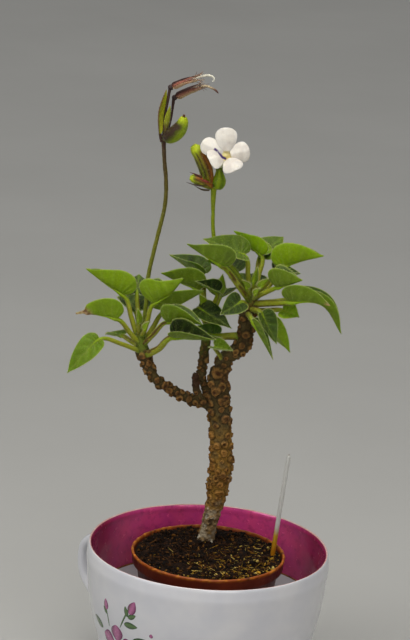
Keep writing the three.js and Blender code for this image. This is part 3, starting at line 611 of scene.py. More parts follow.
PETAL_SPINE = (0.0, 0.01, 0.05, 0.15, 0.31, 0.50, 0.68, 0.83, 0.93, 1.0)
STRAIGHT_FROM = 0.15
BLADE_WIDENING = 1.12
LEAF_THICKNESS, USUAL_HALF_WIDTH, VEIN_PAIRS = 0.62, 9, 6
MARGIN_HAIRS = 150
PROFILE_STEPS = 200

GREEN_UNDER = srgb(132, 162, 10)
DULL_UNDER = srgb(94, 114, 30)
GREEN_OVER = srgb(80, 102, 26)
DEEP_OVER = srgb(44, 60, 16)
MARGIN = srgb(166, 180, 84)
VEIN = srgb(146, 168, 62)
PETIOLE = srgb(152, 156, 40)
STRIPE = srgb(82, 48, 26)
HAIR = srgb(196, 206, 118)
DRY_TIP = srgb(190, 160, 118)


def blade_grid(curve, up, half_width, fold, outline, spine, rows, columns, rng, waves=0.05):
    """Middle surface of a blade that is folded along its midrib by an angle in degrees

    Gives a grid of points, their normals, each row's and column's fractions, each row's half width, and where
    the blade starts.
    """
    tau = np.linspace(0, 1, rows + 2)[1:-1]
    edge = along(np.column_stack([outline, np.zeros(len(outline))]), tau)
    middle = at_fraction(spine, tau)
    s = np.sin(0.5 * np.pi * np.linspace(-1, 1, 2 * columns + 1))
    span = np.abs(s)
    fine = np.linspace(0, 1, PROFILE_STEPS)
    angle = math.radians(fold) * (0.7 + 0.42 * (1 - np.exp(-((fine / 0.3) ** 2))))
    across = np.cumsum(np.cos(angle)) / PROFILE_STEPS
    lifted = np.cumsum(np.sin(angle)) / PROFILE_STEPS
    width = np.maximum(edge[:, 1], 0)[:, None] * half_width
    a = middle[:, None] + (edge[:, 0] - middle)[:, None] * span**1.25
    sway = rng.uniform(0, FULL_TURN, 2)
    phase = np.where(s > 0, sway[0], sway[1])
    wave = waves * half_width * np.sin(7.5 * tau[:, None] + phase)
    wave = wave * span**3 * smooth(0, 0.3, width / half_width)
    lateral = np.sign(s) * width * np.interp(span, fine, across)
    lift = width * np.interp(span, fine, lifted) + wave

    t = 0.5 + 0.5 * np.clip(a, STRAIGHT_FROM, 1)
    centre = along(curve, t)
    tangent = heading(curve, t)
    length = np.linalg.norm(np.subtract(curve[-1], curve[2]))
    centre = centre + tangent * (np.minimum(a - STRAIGHT_FROM, 0) * length)[..., None]
    side = unit(np.cross(unit(up), np.subtract(curve[-1], curve[2])))
    normal = unit(np.cross(tangent, side))
    grid = centre + side * lateral[..., None] + normal * lift[..., None]
    outward = unit(np.cross(np.gradient(grid, axis=0), np.gradient(grid, axis=1)))
    start = along(curve, 0.5 + 0.5 * np.clip(outline[0][0], 0, 1))
    return grid, outward, tau, s, width, start


def rounded_edge(span, width, half_width):
    """How thick a blade is at each point of its grid, from 1 in the middle to 0 at its rim"""
    return np.sqrt(np.maximum(1 - span**6, 0)) * np.sqrt(np.clip(width / half_width * 3, 0, 1))


def leaf_curve(foot, neck, tip, up, arch, bow):
    """Five points from a petiole's foot by its neck to the blade's tip"""
    foot, neck, tip = (np.asarray(p, float) for p in (foot, neck, tip))
    return np.array([
        foot, (foot + neck) / 2 + bow, neck, (neck + tip) / 2 + unit(up) * arch, tip,
    ])


def leaf_shape(name, foot, neck, tip, up, half_width, fold, arch=0, bow=(0, 0, 0), stalk=0.9, shade=0.3,
               stripe=0.4, dry=0.0, blush=0.0, lobes=1.0, pale=0.0, glow=0.0, rows=58, columns=11, fur=1.0):
    """A folded leaf with its petiole and hairs

    arch lifts the blade's middle and bow the petiole's, and stalk is the petiole's radius. shade dulls the
    lower face and glow brightens it as painted light, pale lightens the upper face, partly as painted
    light, or darkens it below 0 as painted shade in a hollow, and stripe browns the petiole. dry and blush
    are how much of the tip is withered or red, and lobes leads from a plain base, 0, to a heart, 1.
    """
    rng = seeded(name)
    if not FINE:
        rows, columns = 30, 6
    curve = leaf_curve(foot, neck, tip, up, arch, bow)
    half_width = half_width * BLADE_WIDENING
    grid, outward, tau, s, width, start = blade_grid(
        curve, up, half_width, fold, mix(PLAIN_OUTLINE, LEAF_OUTLINE, lobes), LEAF_SPINE, rows, columns, rng,
    )
    span = np.abs(s)[None]
    row = tau[:, None]
    if dry:
        shrink = smooth(1 - dry, 1 - 0.6 * dry, row)[..., None]
        spine_line = grid[:, columns:columns + 1]
        crumple = noise(grid, 1.1, 5, 2)[..., None] * outward * 0.5
        grid = grid + shrink * (0.45 * (spine_line - grid) + crumple)

    # veins: pairs that leave the midrib, with the blade puffed up a little between them
    offset = np.where(s < 0, 0.35, 0.0)[None]
    phase = (row - 0.16) / 0.76 * VEIN_PAIRS + offset
    ahead = np.abs(phase - np.round(phase))
    reach = (1 - span**3) * smooth(0.02, 0.14, row) * (1 - smooth(0.82, 0.95, row))
    vein = np.exp(-((ahead / 0.11) ** 2)) * reach
    puff = (0.5 - 0.5 * np.cos(2 * np.pi * phase)) * reach * smooth(0.04, 0.25, span)
    midrib = np.exp(-((span * width / 0.5) ** 2))
    grain = noise(grid, 0.9, 11, 2)
    thick = LEAF_THICKNESS * half_width / USUAL_HALF_WIDTH
    edge_round = rounded_edge(span, width, half_width)
    puffed = 0.022 * half_width * puff
    above = grid + outward * (
        0.5 * thick * edge_round + puffed - 0.13 * vein - 0.22 * midrib * (1 - row) + 0.03 * grain
    )[..., None]
    below = grid - outward * (
        0.5 * thick * edge_round - 0.7 * puffed + 0.08 * vein + 0.1 * midrib + 0.02 * grain
    )[..., None]

    # tints
    patch = noise(grid, 4.5, 3, 2)
    under = mix(GREEN_UNDER, DULL_UNDER, np.clip(shade + 0.18 * patch, 0, 1))
    # Painted light: the glow factor brightens the lower face as if light shone through the leaf
    under = mix(under, VEIN, 0.35 * vein + 0.5 * midrib * (1 - row)) * (1 + glow)
    under = mix(under, PETIOLE, 0.6 * (1 - smooth(0.0, 0.14, row)))
    over = mix(GREEN_OVER, DEEP_OVER, np.clip(0.45 + 0.4 * patch + 0.3 * puff, 0, 1))
    # pale above 0 lightens the upper face, partly its own colour and partly painted light on faces in shadow;
    # below 0 it deepens it as painted shade in the leaf's hollow
    over = mix(over, GREEN_UNDER, pale) if pale >= 0 else over * (1 + pale)
    over = mix(over, VEIN, 0.12 * vein + 0.25 * midrib)
    hem = smooth(0.94, 1.0, span) * np.ones_like(row)
    under = mix(under, MARGIN, 0.6 * hem)
    over = mix(over, MARGIN, 0.7 * hem)
    if dry:
        crisp = smooth(1 - 1.15 * dry, 1 - 0.8 * dry, row + 0.03 * patch)
        under = mix(under, mix(DRY_TIP, srgb(120, 84, 54), smooth(-0.2, 0.6, grain)), crisp)
        over = mix(over, DRY_TIP, crisp)
    if blush:
        rosy = smooth(1 - blush, 1, row) * np.ones_like(span)
        under = mix(under, srgb(206, 150, 120), 0.8 * rosy)
        over = mix(over, srgb(150, 100, 84), 0.6 * rosy)

    blade = two_faced(above, below, over, under, start, curve[-1])

    # petiole, which runs on under the blade as its raised midrib
    t = np.concatenate([np.linspace(0, 0.55, 24), np.linspace(0.57, 0.86, 16)])
    line = along(curve, t)
    tangent = heading(curve, t)
    side = unit(np.cross(unit(up), curve[-1] - curve[2]))
    keel = unit(np.cross(tangent, side))
    on_blade = smooth(0.5, 0.58, t)
    radius = stalk * np.interp(t, [0, 0.05, 0.4, 0.55, 0.65, 0.86], [1.25, 1.08, 0.95, 0.8, 0.36, 0.1])
    line = line - keel * (on_blade * (0.25 * thick + 0.35 * radius))[:, None]
    sides = 14 if FINE else 8
    petiole_rings = ring_points(line, radius, sides)
    turn = np.linspace(0, 2 * np.pi, sides, endpoint=False)[None]
    streak = np.sin(turn * 2 + rng.uniform(0, FULL_TURN)) + 0.7 * noise(petiole_rings, 2.2, 9, 2)
    band = smooth(0.25, 0.8, streak) * (1 - smooth(0.5, 0.62, t))[:, None]
    base = mix(PETIOLE, GREEN_UNDER, row_wise(smooth(0.35, 0.6, t), sides))
    base = mix(base, srgb(104, 128, 36), row_wise(1 - smooth(0, 0.12, t), sides))
    topside = smooth(0.1, 0.9, np.sin(turn)) * (1 - smooth(0.4, 0.6, t))[:, None]
    brown = np.clip(stripe * band + 0.35 * stripe * topside, 0, 0.9)
    petiole = skin(petiole_rings, mix(base, STRIPE, brown))

    # hairs along the margins and all over
    parts = [blade, petiole]
    count = int(MARGIN_HAIRS * fur * HAIR_SHARE)
    for column, inner in ((0, 1), (-1, -2)):
        place = rng.uniform(0, rows - 1.001, count)
        low = place.astype(int)
        w = (place - low)[:, None]
        root = grid[low, column] * (1 - w) + grid[low + 1, column] * w
        out = unit(root - grid[low, inner]) + 0.5 * rng.normal(size=(count, 3))
        parts.append(hairs(root, out, rng.uniform(0.35, 0.85, count), MARGIN_HAIR_RADIUS, HAIR, rng))
    parts.append(down(blade, 1.5 * fur, 0.42, rng, mix(HAIR, GREEN_UNDER, 0.35)))
    parts.append(down(petiole, 2.2 * fur, 0.6, rng, HAIR))
    return joined(parts)


# Each crown's branch: two points on its middle line, and how far from that line the petioles start
CROWNS = {
    "left": ((-27.9, 0, 134), (-30.3, 0, 142.5), 1.2),
    "middle": ((-6, 10, 137), (-6, 10.3, 147), 0.9),
    "right": ((8.4, 2.4, 151), (10.2, 2, 160), 1.3),
}


def foot_on(crown, bearing, height):
    """Where a petiole starts on a crown's branch"""
    low, high, inset = CROWNS[crown]
    share = min(max((height - low[2]) / (high[2] - low[2]), 0), 1)
    x, y, _ = mix(low, high, share)
    out = turned(bearing)
    return (x + inset * out[0], y + inset * out[1], height)


# Each leaf's petiole foot (its bearing in degrees and its height on the crown, or its place), its neck, its
# tip, the way its hollow side faces, its half width, its fold in degrees, and what sets it apart
LEAVES = {
    "left_01": ((160, 141), (-36, 2, 154.5), (-51, 4, 164), (0.45, 0.35, 0.9), 7.4, 58,
                dict(shade=0.15, lobes=0.9)),
    "left_02": ((-25, 141.5), (-26, -3.8, 154), (-15.5, -4.5, 165), (-0.6, 0.4, 0.7), 8.8, 60,
                dict(arch=-1, shade=0.2, lobes=0.5)),
    "left_03": ((105, 140), (-32, 7, 154.5), (-32, 19, 159), (0, 0, 1), 6.5, 5, dict(shade=0.1, stripe=0.9)),
    "left_04": ((215, 138.5), (-37.5, -5, 148), (-53.5, -6, 150), (0.15, 0.4, 1), 6.9, 56,
                dict(arch=0.8, shade=0.25, dry=0.2, lobes=0.4)),
    "left_05": ((212, 135.5), (-43.5, -8, 141.5), (-55, -12, 129), (-0.35, -0.85, 0.4), 4.2, 16,
                dict(arch=1.5, bow=(0, 0, 0.5), stalk=0.8, shade=0.2, stripe=0.1, lobes=0.0, pale=0.4)),
    "left_06": ((125, 136.5), (-36.5, 9, 138), (-43, 15, 136.5), (0, 0, 1), 4.5, 20,
                dict(shade=0.5, pale=0.3)),
    "left_07": ((-40, 138.5), (-21, -8, 149), (-7.5, -10.5, 150), (-0.35, 0.25, 0.95), 7.4, 50,
                dict(arch=0.8, shade=0.55, stripe=0.9, lobes=0.5)),
    "left_08": ((30, 139), (-22.5, 4, 149), (-7.5, 1, 159.5), (-0.5, 0.35, 0.85), 7, 48,
                dict(shade=0.6, pale=-0.5)),
    "left_09": ((-42, 134.5), (-18.5, -11, 144.5), (-2, -15, 146), (0, -0.5, 0.87), 6.3, 60,
                dict(stalk=1.2, bow=(0, 0, -1), shade=0.85, stripe=1.0, lobes=0.3, pale=-0.6)),
    "left_10": ((85, 137), (-32, 13, 145.5), (-37, 26, 149), (0, 0, 1), 7.5, 35, dict(shade=0.4)),
    "middle_01": ((233, 145), (-9.5, 5, 151.5), (3, -1, 146.5), (0.2, -0.5, 0.8), 4.8, 12,
                  dict(shade=0.9, pale=-0.45, lobes=0.3)),
    "middle_02": ((165, 146), (-9, 9.5, 156.5), (-24, 12, 162), (0, 0.35, 1), 7.5, 48,
                  dict(shade=0.6, lobes=0.5)),
    "middle_03": ((100, 144.5), (-9, 19.5, 159.5), (-21.5, 23.5, 166), (0.2, 0, 1), 6.5, 38, dict(shade=0.6)),
    "middle_04": ((10, 146), (-3, 5.5, 157.5), (-11.2, 1.5, 162.6), (0.1, -0.5, 0.85), 3.7, 44,
                  dict(shade=0.8, pale=-0.6)),
    "middle_05": ((60, 143), (-2, 18, 152), (1, 29, 153), (0, 0, 1), 7, 35, dict(shade=0.5)),
    "right_01": ((219, 157), (-0.5, -7.5, 170.3), (-15, -12.5, 180), (0.1, 0.35, 1), 7, 46,
                 dict(shade=0.75, stripe=1.0, lobes=0.4, stalk=1.05)),
    "right_02": ((205, 159.3), (6.5, 2.1, 172.6), (-9.5, 1.6, 178.5), (0, -0.3, 0.95), 7, 16,
                 dict(shade=0.4, stripe=0.2, pale=0.25, lobes=0.6)),
    # right_03 and right_05 get painted light on their lower faces through their glow
    "right_03": ((58, 159), (12.5, 9, 171), (1.5, 15, 178.8), (0.1, 0.35, 0.95), 6.5, 42,
                 dict(shade=0.0, pale=0.7, glow=0.4, lobes=0.4)),
    "right_04": ((80, 157), (12, 14, 170.5), (20, 21, 176.2), (0, -0.35, 0.95), 6, 12,
                 dict(shade=0.4, pale=0.2)),
    "right_05": ((-6, 158.6), (18.5, 1, 169), (34.5, 0, 175.5), (-0.45, 0.4, 0.9), 7.8, 56,
                 dict(arch=0.8, shade=0.0, glow=0.12, stripe=0.3, lobes=0.6)),
    "right_06": ((-52, 158.2), (17.5, -8, 164.5), (27, -11, 169), (-0.45, 0.3, 0.9), 7.5, 60,
                 dict(shade=0.65, lobes=0.6)),
    "right_07": ((42, 156.5), (18.5, 11, 163), (27, 16, 164), (-0.1, -0.3, 0.95), 6, 42, dict(shade=0.6)),
    "right_08": ((-36, 155.5), (22, -8, 159.5), (37.5, -12, 160.5), (0, 0.35, 1), 6.5, 55,
                 dict(arch=1, stalk=1.2, shade=0.75, stripe=1.0, blush=0.12)),
    "right_09": ((4, 155.5), (24, 3, 157.5), (43, 2, 146), (0.4, 0, 1), 5.2, 62,
                 dict(arch=5, shade=0.7, lobes=0.3)),
    "right_10": ((-20, 152.8), (20.5, -2.5, 155), (27, -5, 153.5), (0, -0.7, 0.7), 4.5, 30,
                 dict(shade=0.1, pale=0.9, lobes=0.3)),
    "right_11": ((-70, 153.8), (13, -7, 155), (19.5, -9, 144), (0.5, -0.8, 0.3), 3.9, 34,
                 dict(shade=0.8, lobes=0.1)),
    "right_12": ((-95, 152), (10, -9, 152.5), (18.5, -13.5, 139.5), (0.85, -0.2, 0.5), 3.0, 50,
                 dict(shade=1.0, lobes=0.0)),
    "right_13": ((31, 152.5), (15, 5, 149.5), (25, 3, 137.5), (0.6, 0.7, 0.4), 5.2, 10,
                 dict(shade=0.15, lobes=0.2, pale=0.4)),
    "right_14": ((242, 154.5), (6, -4, 157.5), (-1.5, -8.5, 153.5), (-0.2, -0.85, 0.45), 4.1, 22,
                 dict(shade=0.6, lobes=0.7, pale=-0.2)),
    "right_15": ((125, 156.5), (4, 13, 163), (-8, 19, 166), (0, 0, 1), 6.5, 40, dict(shade=0.4)),
    "right_16": ((105, 154), (8, 15, 156.5), (8, 29, 159), (0, 0, 1), 7.5, 32, dict(shade=0.5)),
    "right_17": ((160, 158), (-1.5, 7.6, 167), (-9.5, 10, 171.5), (0.3, 0.3, 0.95), 5, 55,
                 dict(shade=0.1, lobes=0.6)),
    "inner_01": ((5.6, 3.2, 142.5), (-1.5, 3, 142), (-12.5, 1, 145), (0, -0.4, 0.9), 3.8, 35,
                 dict(stalk=1.35, shade=0.4, stripe=0.7)),
    "inner_02": ((0.5, 3.6, 133), (-2.6, -1.4, 139), (4, -6, 139.6), (-0.3, -0.4, 0.85), 3.2, 40,
                 dict(stalk=0.7, shade=0.3, fur=2.2, pale=0.4)),
}

for leaf_name, (foot, *blade, extras) in LEAVES.items():
    if len(foot) == 2:
        foot = foot_on(leaf_name.split("_")[0], *foot)
    shape = leaf_shape(leaf_name, foot, *blade, **extras)
    add_piece(f"velvet_{leaf_name}", shape, [LEAF], [f"leaf_{leaf_name}"])


# Young leaves in the middle of the crowns, too small for a node of their own

NEW_LEAVES = {
    "middle_bright": ((-5, 9.5, 147), (-2.6, 8, 156.5), (-1.4, 6.5, 164.5), (0.2, 0.8, 0.2), 2.6, 50,
                      dict(shade=0.05, stalk=0.7, fur=1.4)),
    "middle_young": ((-6.5, 9, 146.5), (-8.3, 6.5, 152), (-9.3, 4.5, 157), (0.3, 0.7, 0.4), 2.3, 55,
                     dict(shade=0.1, stalk=0.6, fur=2.0)),
    "right_spear": ((9.6, 1.2, 159.5), (9.6, -0.6, 163.5), (10.8, -1.4, 170), (0.2, 0.9, 0.2), 2.2, 62,
                    dict(shade=0.2, stalk=0.7, fur=2.2)),
    "right_bud_leaf": ((10.8, 0.4, 159.3), (12.4, -1.8, 162.5), (15.4, -2.8, 166.4), (-0.5, 0.6, 0.4),
                       1.8, 60, dict(shade=0.3, stalk=0.6, fur=2.4)),
    "right_young": ((9.2, 0.6, 158.8), (7.6, -2.6, 162), (5.6, -4.4, 165.8), (0.4, 0.6, 0.5), 1.7, 60,
                    dict(shade=0.5, stalk=0.6, fur=2.4)),
    "right_tuft": ((10.3, 0.2, 157.8), (10.6, -3.2, 160), (12.2, -4.9, 163.2), (-0.1, 0.7, 0.5), 1.5, 62,
                   dict(shade=0.1, stalk=0.55, fur=2.6)),
    "left_spear": ((-30.4, -0.6, 142), (-30.8, -2, 146.5), (-31.2, -2.6, 152), (0.2, 0.8, 0.2), 2.0, 60,
                   dict(shade=0.25, stalk=0.6, fur=2.2)),
    "left_tuft": ((-29.6, -1.0, 141.6), (-28.2, -3.2, 144.4), (-26.6, -4.4, 148), (-0.3, 0.7, 0.4), 1.6, 60,
                  dict(shade=0.15, stalk=0.55, fur=2.4)),
}

for leaf_name, (*places, extras) in NEW_LEAVES.items():
    shape = leaf_shape(leaf_name, *places, rows=30, columns=7, **extras)
    add_piece(f"new_leaf_{leaf_name}", shape, [LEAF])


# Woody stem: its branches are blended into one skin, and leaf scars are raised on it. Each branch has the
# points of its middle line and its radii.

STEM_LINES = {
    "trunk": (
        [(-2, 11.5, 36), (-1.6, 11.2, 50), (-1.6, 11, 57.5), (-0.9, 11, 62), (-0.2, 10.5, 67), (1.2, 10, 74),
         (2, 9, 81), (2.5, 8, 89.5), (2.2, 7, 98), (1.2, 6, 109), (0.3, 5.5, 117), (-0.4, 5, 123.5),
         (-1, 5, 129.5)],
        [1, 2.6, 3.7, 3.3, 3.3, 3.5, 4, 4.4, 4.4, 4.3, 4.3, 3.9, 3],
    ),
    "right": (
        [(-0.4, 5, 125), (1.8, 4.6, 133.5), (6.6, 3.8, 137.5), (8.3, 3, 143), (8.4, 2.5, 150),
         (9.4, 2, 155.5), (10.2, 2, 160)],
        [3, 3.2, 3, 3, 3, 2.8, 1.9],
    ),
    "middle": (
        [(-3.8, 6, 118), (-6.6, 7.2, 125.5), (-6.5, 9, 131), (-6, 10, 138), (-6, 10.3, 147)],
        [1.9, 1.8, 1.8, 1.9, 1.6],
    ),
    "left": (
        [(-0.5, 5.2, 112.5), (-4.8, 5, 115.6), (-8.2, 4, 116.4), (-15.5, 2, 120), (-23.6, 0, 125.4),
         (-26.8, 0, 131), (-28.6, 0, 136), (-30.3, 0, 142.5)],
        [2.4, 2.3, 2.1, 2.1, 2.1, 2.3, 2.7, 1.8],
    ),
    "stub": ([(-5.5, 4.6, 115.5), (-8.4, 3, 121.8), (-9, 2, 127.6)], [1.6, 1.3, 1.1]),
    "root_flare": ([(-1.5, 10.5, 67), (-2.6, 10, 61), (-5.2, 9.2, 56)], [1.6, 1.9, 1.2]),
}

# Scars that the photograph shows: height, bearing in degrees and size
SCARS_SEEN = {
    "trunk": (
        (128.1, -82, 2.0), (123.5, -178, 0.9), (123.7, -22, 1.1), (121.7, -106, 1.65), (116.7, -46, 1.2),
        (113.7, -18, 1.1), (113.7, -138, 1.35), (110.9, -62, 1.4), (109.4, -26, 1.1), (108.3, -114, 1.0),
        (104.1, -146, 1.3), (104.1, -50, 1.1), (100.5, -110, 1.15), (98.9, -146, 1.1), (99.5, -22, 1.2),
        (97.7, -74, 1.25), (94.0, -142, 1.2), (94.5, -34, 1.2), (89.8, -102, 1.25), (89.3, -162, 1.1),
        (87.1, -50, 1.0), (84.8, -122, 0.9), (81.4, -78, 1.3), (78.6, -142, 0.9), (78.0, -38, 1.0),
        (76.6, -98, 1.0), (73.6, -62, 0.8),
    ),
    "right": (
        (149.8, -122, 1.1), (154.5, -118, 0.9), (143.8, -154, 0.9), (144.2, -90, 1.3), (139.8, -98, 1.0),
        (137.5, -50, 1.0), (136.7, -110, 1.0),
    ),
}
GOLDEN_ANGLE = 137.5
VOXEL = 0.27 if FINE else 0.6
RELAX_FACTOR, RELAX_STEPS = 0.5, 8
BARK_SHRINK, THIN_BRANCH, STOUT_BRANCH = 0.35, 1.3, 3
SEEN_ROOM, OTHER_ROOM = 0.6, 0.86
# Scars that fill the rest of the bark: where they start and end on a branch, as fractions of its length, the
# step between them and their size
SCARS_BETWEEN = {
    "trunk": (0.34, 0.99, 0.0045, 1.1), "right": (0.1, 0.97, 0.012, 1.0), "left": (0.2, 0.86, 0.010, 0.95),
    "middle": (0.1, 0.9, 0.022, 0.75), "stub": (0.2, 0.97, 0.1, 0.7),
}


def mesh_arrays(mesh):
    points = np.empty(len(mesh.vertices) * 3, np.float32)
    mesh.vertices.foreach_get("co", points)
    normals = np.empty_like(points)
    mesh.vertex_normals.foreach_get("vector", normals)
    mesh.calc_loop_triangles()
    faces = np.empty(len(mesh.loop_triangles) * 3, np.int32)
    mesh.loop_triangles.foreach_get("vertices", faces)
    points, normals = (values.reshape(-1, 3).astype(float) for values in (points, normals))
    return points / MM, faces.reshape(-1, 3), normals


def scratch(name, shape):
    """An object that lives only while a shape is made"""
    points, faces, _ = shape
    mesh = bpy.data.meshes.new(name)
    mesh.from_pydata((points * MM).tolist(), [], faces.tolist())
    thing = bpy.data.objects.new(name, mesh)
    bpy.context.scene.collection.objects.link(thing)
    return thing


def modified(thing, *others):
    """The points, triangles and normals of an object after its modifiers; it and the others are removed"""
    ready = thing.evaluated_get(bpy.context.evaluated_depsgraph_get())
    result = mesh_arrays(ready.to_mesh())
    ready.to_mesh_clear()
    for done in (thing, *others):
        mesh = done.data
        bpy.data.objects.remove(done)
        bpy.data.meshes.remove(mesh)
    return result


def blended_skin(shapes):
    """One closed skin round overlapping shapes"""
    rough = scratch("rough", joined(shapes))
    remesh = rough.modifiers.new("remesh", "REMESH")
    remesh.mode = "VOXEL"
    remesh.voxel_size = VOXEL * MM
    relax = rough.modifiers.new("relax", "SMOOTH")
    relax.factor, relax.iterations = RELAX_FACTOR, RELAX_STEPS
    return modified(rough)


def scar_list(rng):
    """Every leaf scar: its centre, the way out of the bark, the way up the stem and its size"""
    scars = []

    def put(line, radii, t, bearing, size, room):
        centre = along(line, np.array([t]))[0]
        up = heading(line, np.array([t]))[0]
        out = turned(bearing)
        out = unit(out - up * np.dot(out, up))
        place = centre + out * (at_fraction(radii, t) - BARK_SHRINK)
        crowded = any(np.linalg.norm(place - other) < room * (size + held) for other, _, _, held in scars)
        if not crowded:
            scars.append((place, out, up, size))

    for name, seen in SCARS_SEEN.items():
        line, radii = STEM_LINES[name]
        fine = np.linspace(0, 1, 400)
        heights = along(line, fine)[:, 2]
        for height, bearing, size in seen:
            put(line, radii, np.interp(height, heights, fine), bearing, size, SEEN_ROOM)
    for name, (low, high, step, size) in SCARS_BETWEEN.items():
        line, radii = STEM_LINES[name]
        for index, t in enumerate(np.arange(low, high, step)):
            here = size * rng.uniform(0.6, 1.25)
            t = t + rng.uniform(-0.3, 0.3) * step
            put(line, radii, t, index * GOLDEN_ANGLE + rng.uniform(-30, 30), here, OTHER_ROOM)
    return scars


def stem_shape():
    rng = seeded("stem")
    shapes = []
    for line, radii in STEM_LINES.values():
        shrunk = np.array(radii, float)
        thinner = shrunk - BARK_SHRINK * min(1, shrunk.max() / STOUT_BRANCH)
        shrunk = np.where(shrunk > THIN_BRANCH, thinner, shrunk)
        shapes.append(sweep(line, shrunk, 28, 90, (1, 1, 1)))
    points, faces, normals = blended_skin(shapes)
    height = points[:, 2]
    # each scar's height, its disc, its ring, the pit in it, the crease round it, which also carries painted
    # shade, and how warm its colour is
    relief, disc, ring, pit, crease, warm = np.zeros((6, len(points)))
    wobble = noise(points, 1.5, 41, 2)
    nibble = noise(points, 0.6, 42, 2)
    for place, out, up, size in scar_list(rng):
        gap = points - place
        near = np.nonzero((np.abs(gap) < 2.6 * size).all(1))[0]
        near = near[(normals[near] @ out) > 0.1]
        tall, wide = size * rng.uniform(0.85, 1.35), size * rng.uniform(0.8, 1.2)
        tall_off, wide_off = rng.uniform(-0.3, 0.3, 2) * size
        strong, deep, hue = rng.uniform(0.3, 1.0), rng.uniform(0.15, 1.0), rng.uniform(0, 1)
        low = smooth(72, 84, place[2])
        if not len(near):
            continue
        side = np.cross(up, out)
        across, upward = gap[near] @ side, gap[near] @ up
        d = np.hypot(upward / tall, across / wide) + 0.26 * wobble[near] + 0.1 * nibble[near]
        inner = np.hypot((upward - tall_off) / tall, (across - wide_off) / wide) + 0.2 * wobble[near]
        high = size * (0.35 + 0.65 * low) * (
            0.68 * (1 - smooth(0.55, 1.4, d)) + 0.2 * strong * np.exp(-(((d - 0.8) / 0.22) ** 2))
            - 0.32 * deep * np.exp(-((inner / 0.42) ** 2))
        )
        relief[near] = np.where(np.abs(high) > np.abs(relief[near]), high, relief[near])
        fresh = (1 - smooth(0.75, 1.15, d)) > disc[near]
        warm[near] = np.where(fresh, hue, warm[near])
        disc[near] = np.maximum(disc[near], 1 - smooth(0.75, 1.15, d))
        ring[near] = np.maximum(ring[near], strong * np.exp(-(((d - 0.82) / 0.2) ** 2)))
        pit[near] = np.maximum(pit[near], deep * (1 - smooth(0.25, 0.55, inner)))
        crease[near] = np.maximum(crease[near], np.exp(-(((d - 1.3) / 0.2) ** 2)) * (0.4 + 0.6 * low))
    rough = noise(points, 1.6, 7, 3)
    fine_rough = noise(points, 0.55, 8, 2)
    left_top = smooth(133, 138, height) * (points[:, 0] < -20)
    right_top = smooth(154, 158, height) * (points[:, 0] > 2)
    middle_top = smooth(130, 140, height) * ((points[:, 0] < -3) & (points[:, 1] > 5))
    green = np.maximum(np.maximum(left_top, right_top), middle_top)
    calm = 1 - 0.75 * green
    old_end = 1 - smooth(68, 78, height + 2 * wobble)
    moved = relief + 0.3 * rough + (0.13 + 0.12 * old_end) * fine_rough - 0.12 * crease
    points = points + normals * (moved * calm)[:, None]

    base = mix(srgb(132, 108, 74), srgb(154, 114, 48), smooth(66, 80, height + 3 * wobble))
    # Higher up the bark turns olive and deep brown, partly its own colour and partly painted shade from the
    # leaves above it
    base = mix(base, srgb(84, 70, 38), smooth(100, 114, height + 4 * wobble))
    patches = smooth(0.05, 0.7, noise(points, 3.0, 17, 2))
    grey = mix(srgb(186, 176, 152), srgb(94, 84, 56), smooth(74, 96, height))
    base = mix(base, grey, 0.5 * patches)
    chalky = noise(points, 1.4, 27, 2) + 0.5 * np.exp(-(((height - 71.5) / 2) ** 2))
    base = mix(base, srgb(208, 200, 180), 0.85 * old_end * smooth(0.3, 0.8, chalky))
    lichen = old_end * smooth(0.2, 0.7, noise(points, 2.2, 29, 2)) * np.exp(-(((height - 66) / 2.2) ** 2))
    base = mix(base, srgb(168, 124, 34), lichen)
    ochre = mix(srgb(150, 84, 32), srgb(164, 118, 58), warm)
    ochre = mix(ochre, srgb(158, 136, 100), 1 - smooth(66, 80, height))
    base = mix(base, ochre, np.clip(0.6 * disc + 0.3 * ring, 0, 1) * (0.3 + 0.5 * warm))
    base = mix(base, mix(ochre * 1.1, srgb(198, 160, 100), 0.35), 0.5 * ring)
    base = mix(base, srgb(84, 44, 24), 0.55 * disc * (1 - ring) * smooth(-0.1, 0.5, nibble + 0.4 * wobble))
    base = mix(base, srgb(46, 24, 15), 0.85 * pit)
    # Painted shade in the crease round each scar
    base = mix(base, srgb(44, 34, 22), 0.62 * crease * (1 - 0.5 * old_end))
    dark_spots = smooth(0.35 - 0.2 * old_end, 0.8 - 0.2 * old_end, noise(points, 1.2, 23, 2))
    base = mix(base, srgb(52, 36, 24), (0.55 + 0.25 * old_end) * dark_spots)
    stub = smooth(119, 124, height) * (points[:, 0] < -6.4) * (points[:, 1] < 4.6) * (points[:, 0] > -14)
    base = mix(base, srgb(58, 34, 28), 0.75 * stub)
    shoot = mix(srgb(98, 116, 34), srgb(84, 74, 36), smooth(-0.1, 0.6, rough))
    return points, faces, mix(base, shoot, 0.85 * green * (1 - 0.5 * ring))


add_piece("corky_stem", stem_shape(), [BARK], ["stem"])


# Potting mix: a plug with a rough top, covered in crumbs and fibres

SOIL_BASE, SOIL_EDGE_HEIGHT, SOIL_EDGE_RADIUS = 10.2, 58.4, 26.9
SOIL_WALL = [(18, SOIL_BASE), (24.4, 53.4), (25.3, 55.4), (26.6, 57)]
CRUMB_COUNT, GRAIN_COUNT, FIBRE_COUNT = 2300, 7500, 1500
SOIL_SHARE = 1 if FINE else 0.2
CRUMB_REACH, FIBRE_REACH, FIBRE_LIMIT = 26.6, 26.0, 26.4
SOIL_COLOURS = np.array([
    srgb(20, 13, 9), srgb(32, 20, 12), srgb(58, 34, 16), srgb(98, 62, 22), srgb(176, 134, 40),
    srgb(202, 174, 92),
])


def soil_height(x, y):
    edge = np.hypot(x, y) / SOIL_EDGE_RADIUS
    lumps = np.sin(0.55 * x + 1) * np.cos(0.48 * y - 0.6) + 0.6 * np.sin(0.21 * x - 0.34 * y)
    mound = SOIL_EDGE_HEIGHT + (1 - np.minimum(edge, 1) ** 2) * (1.6 + 0.5 * lumps)
    hollow = np.exp(-(((x + 2.5) / 4.2) ** 2) - ((y - 1.5) / 4.0) ** 2)
    return mound - 1.3 * hollow


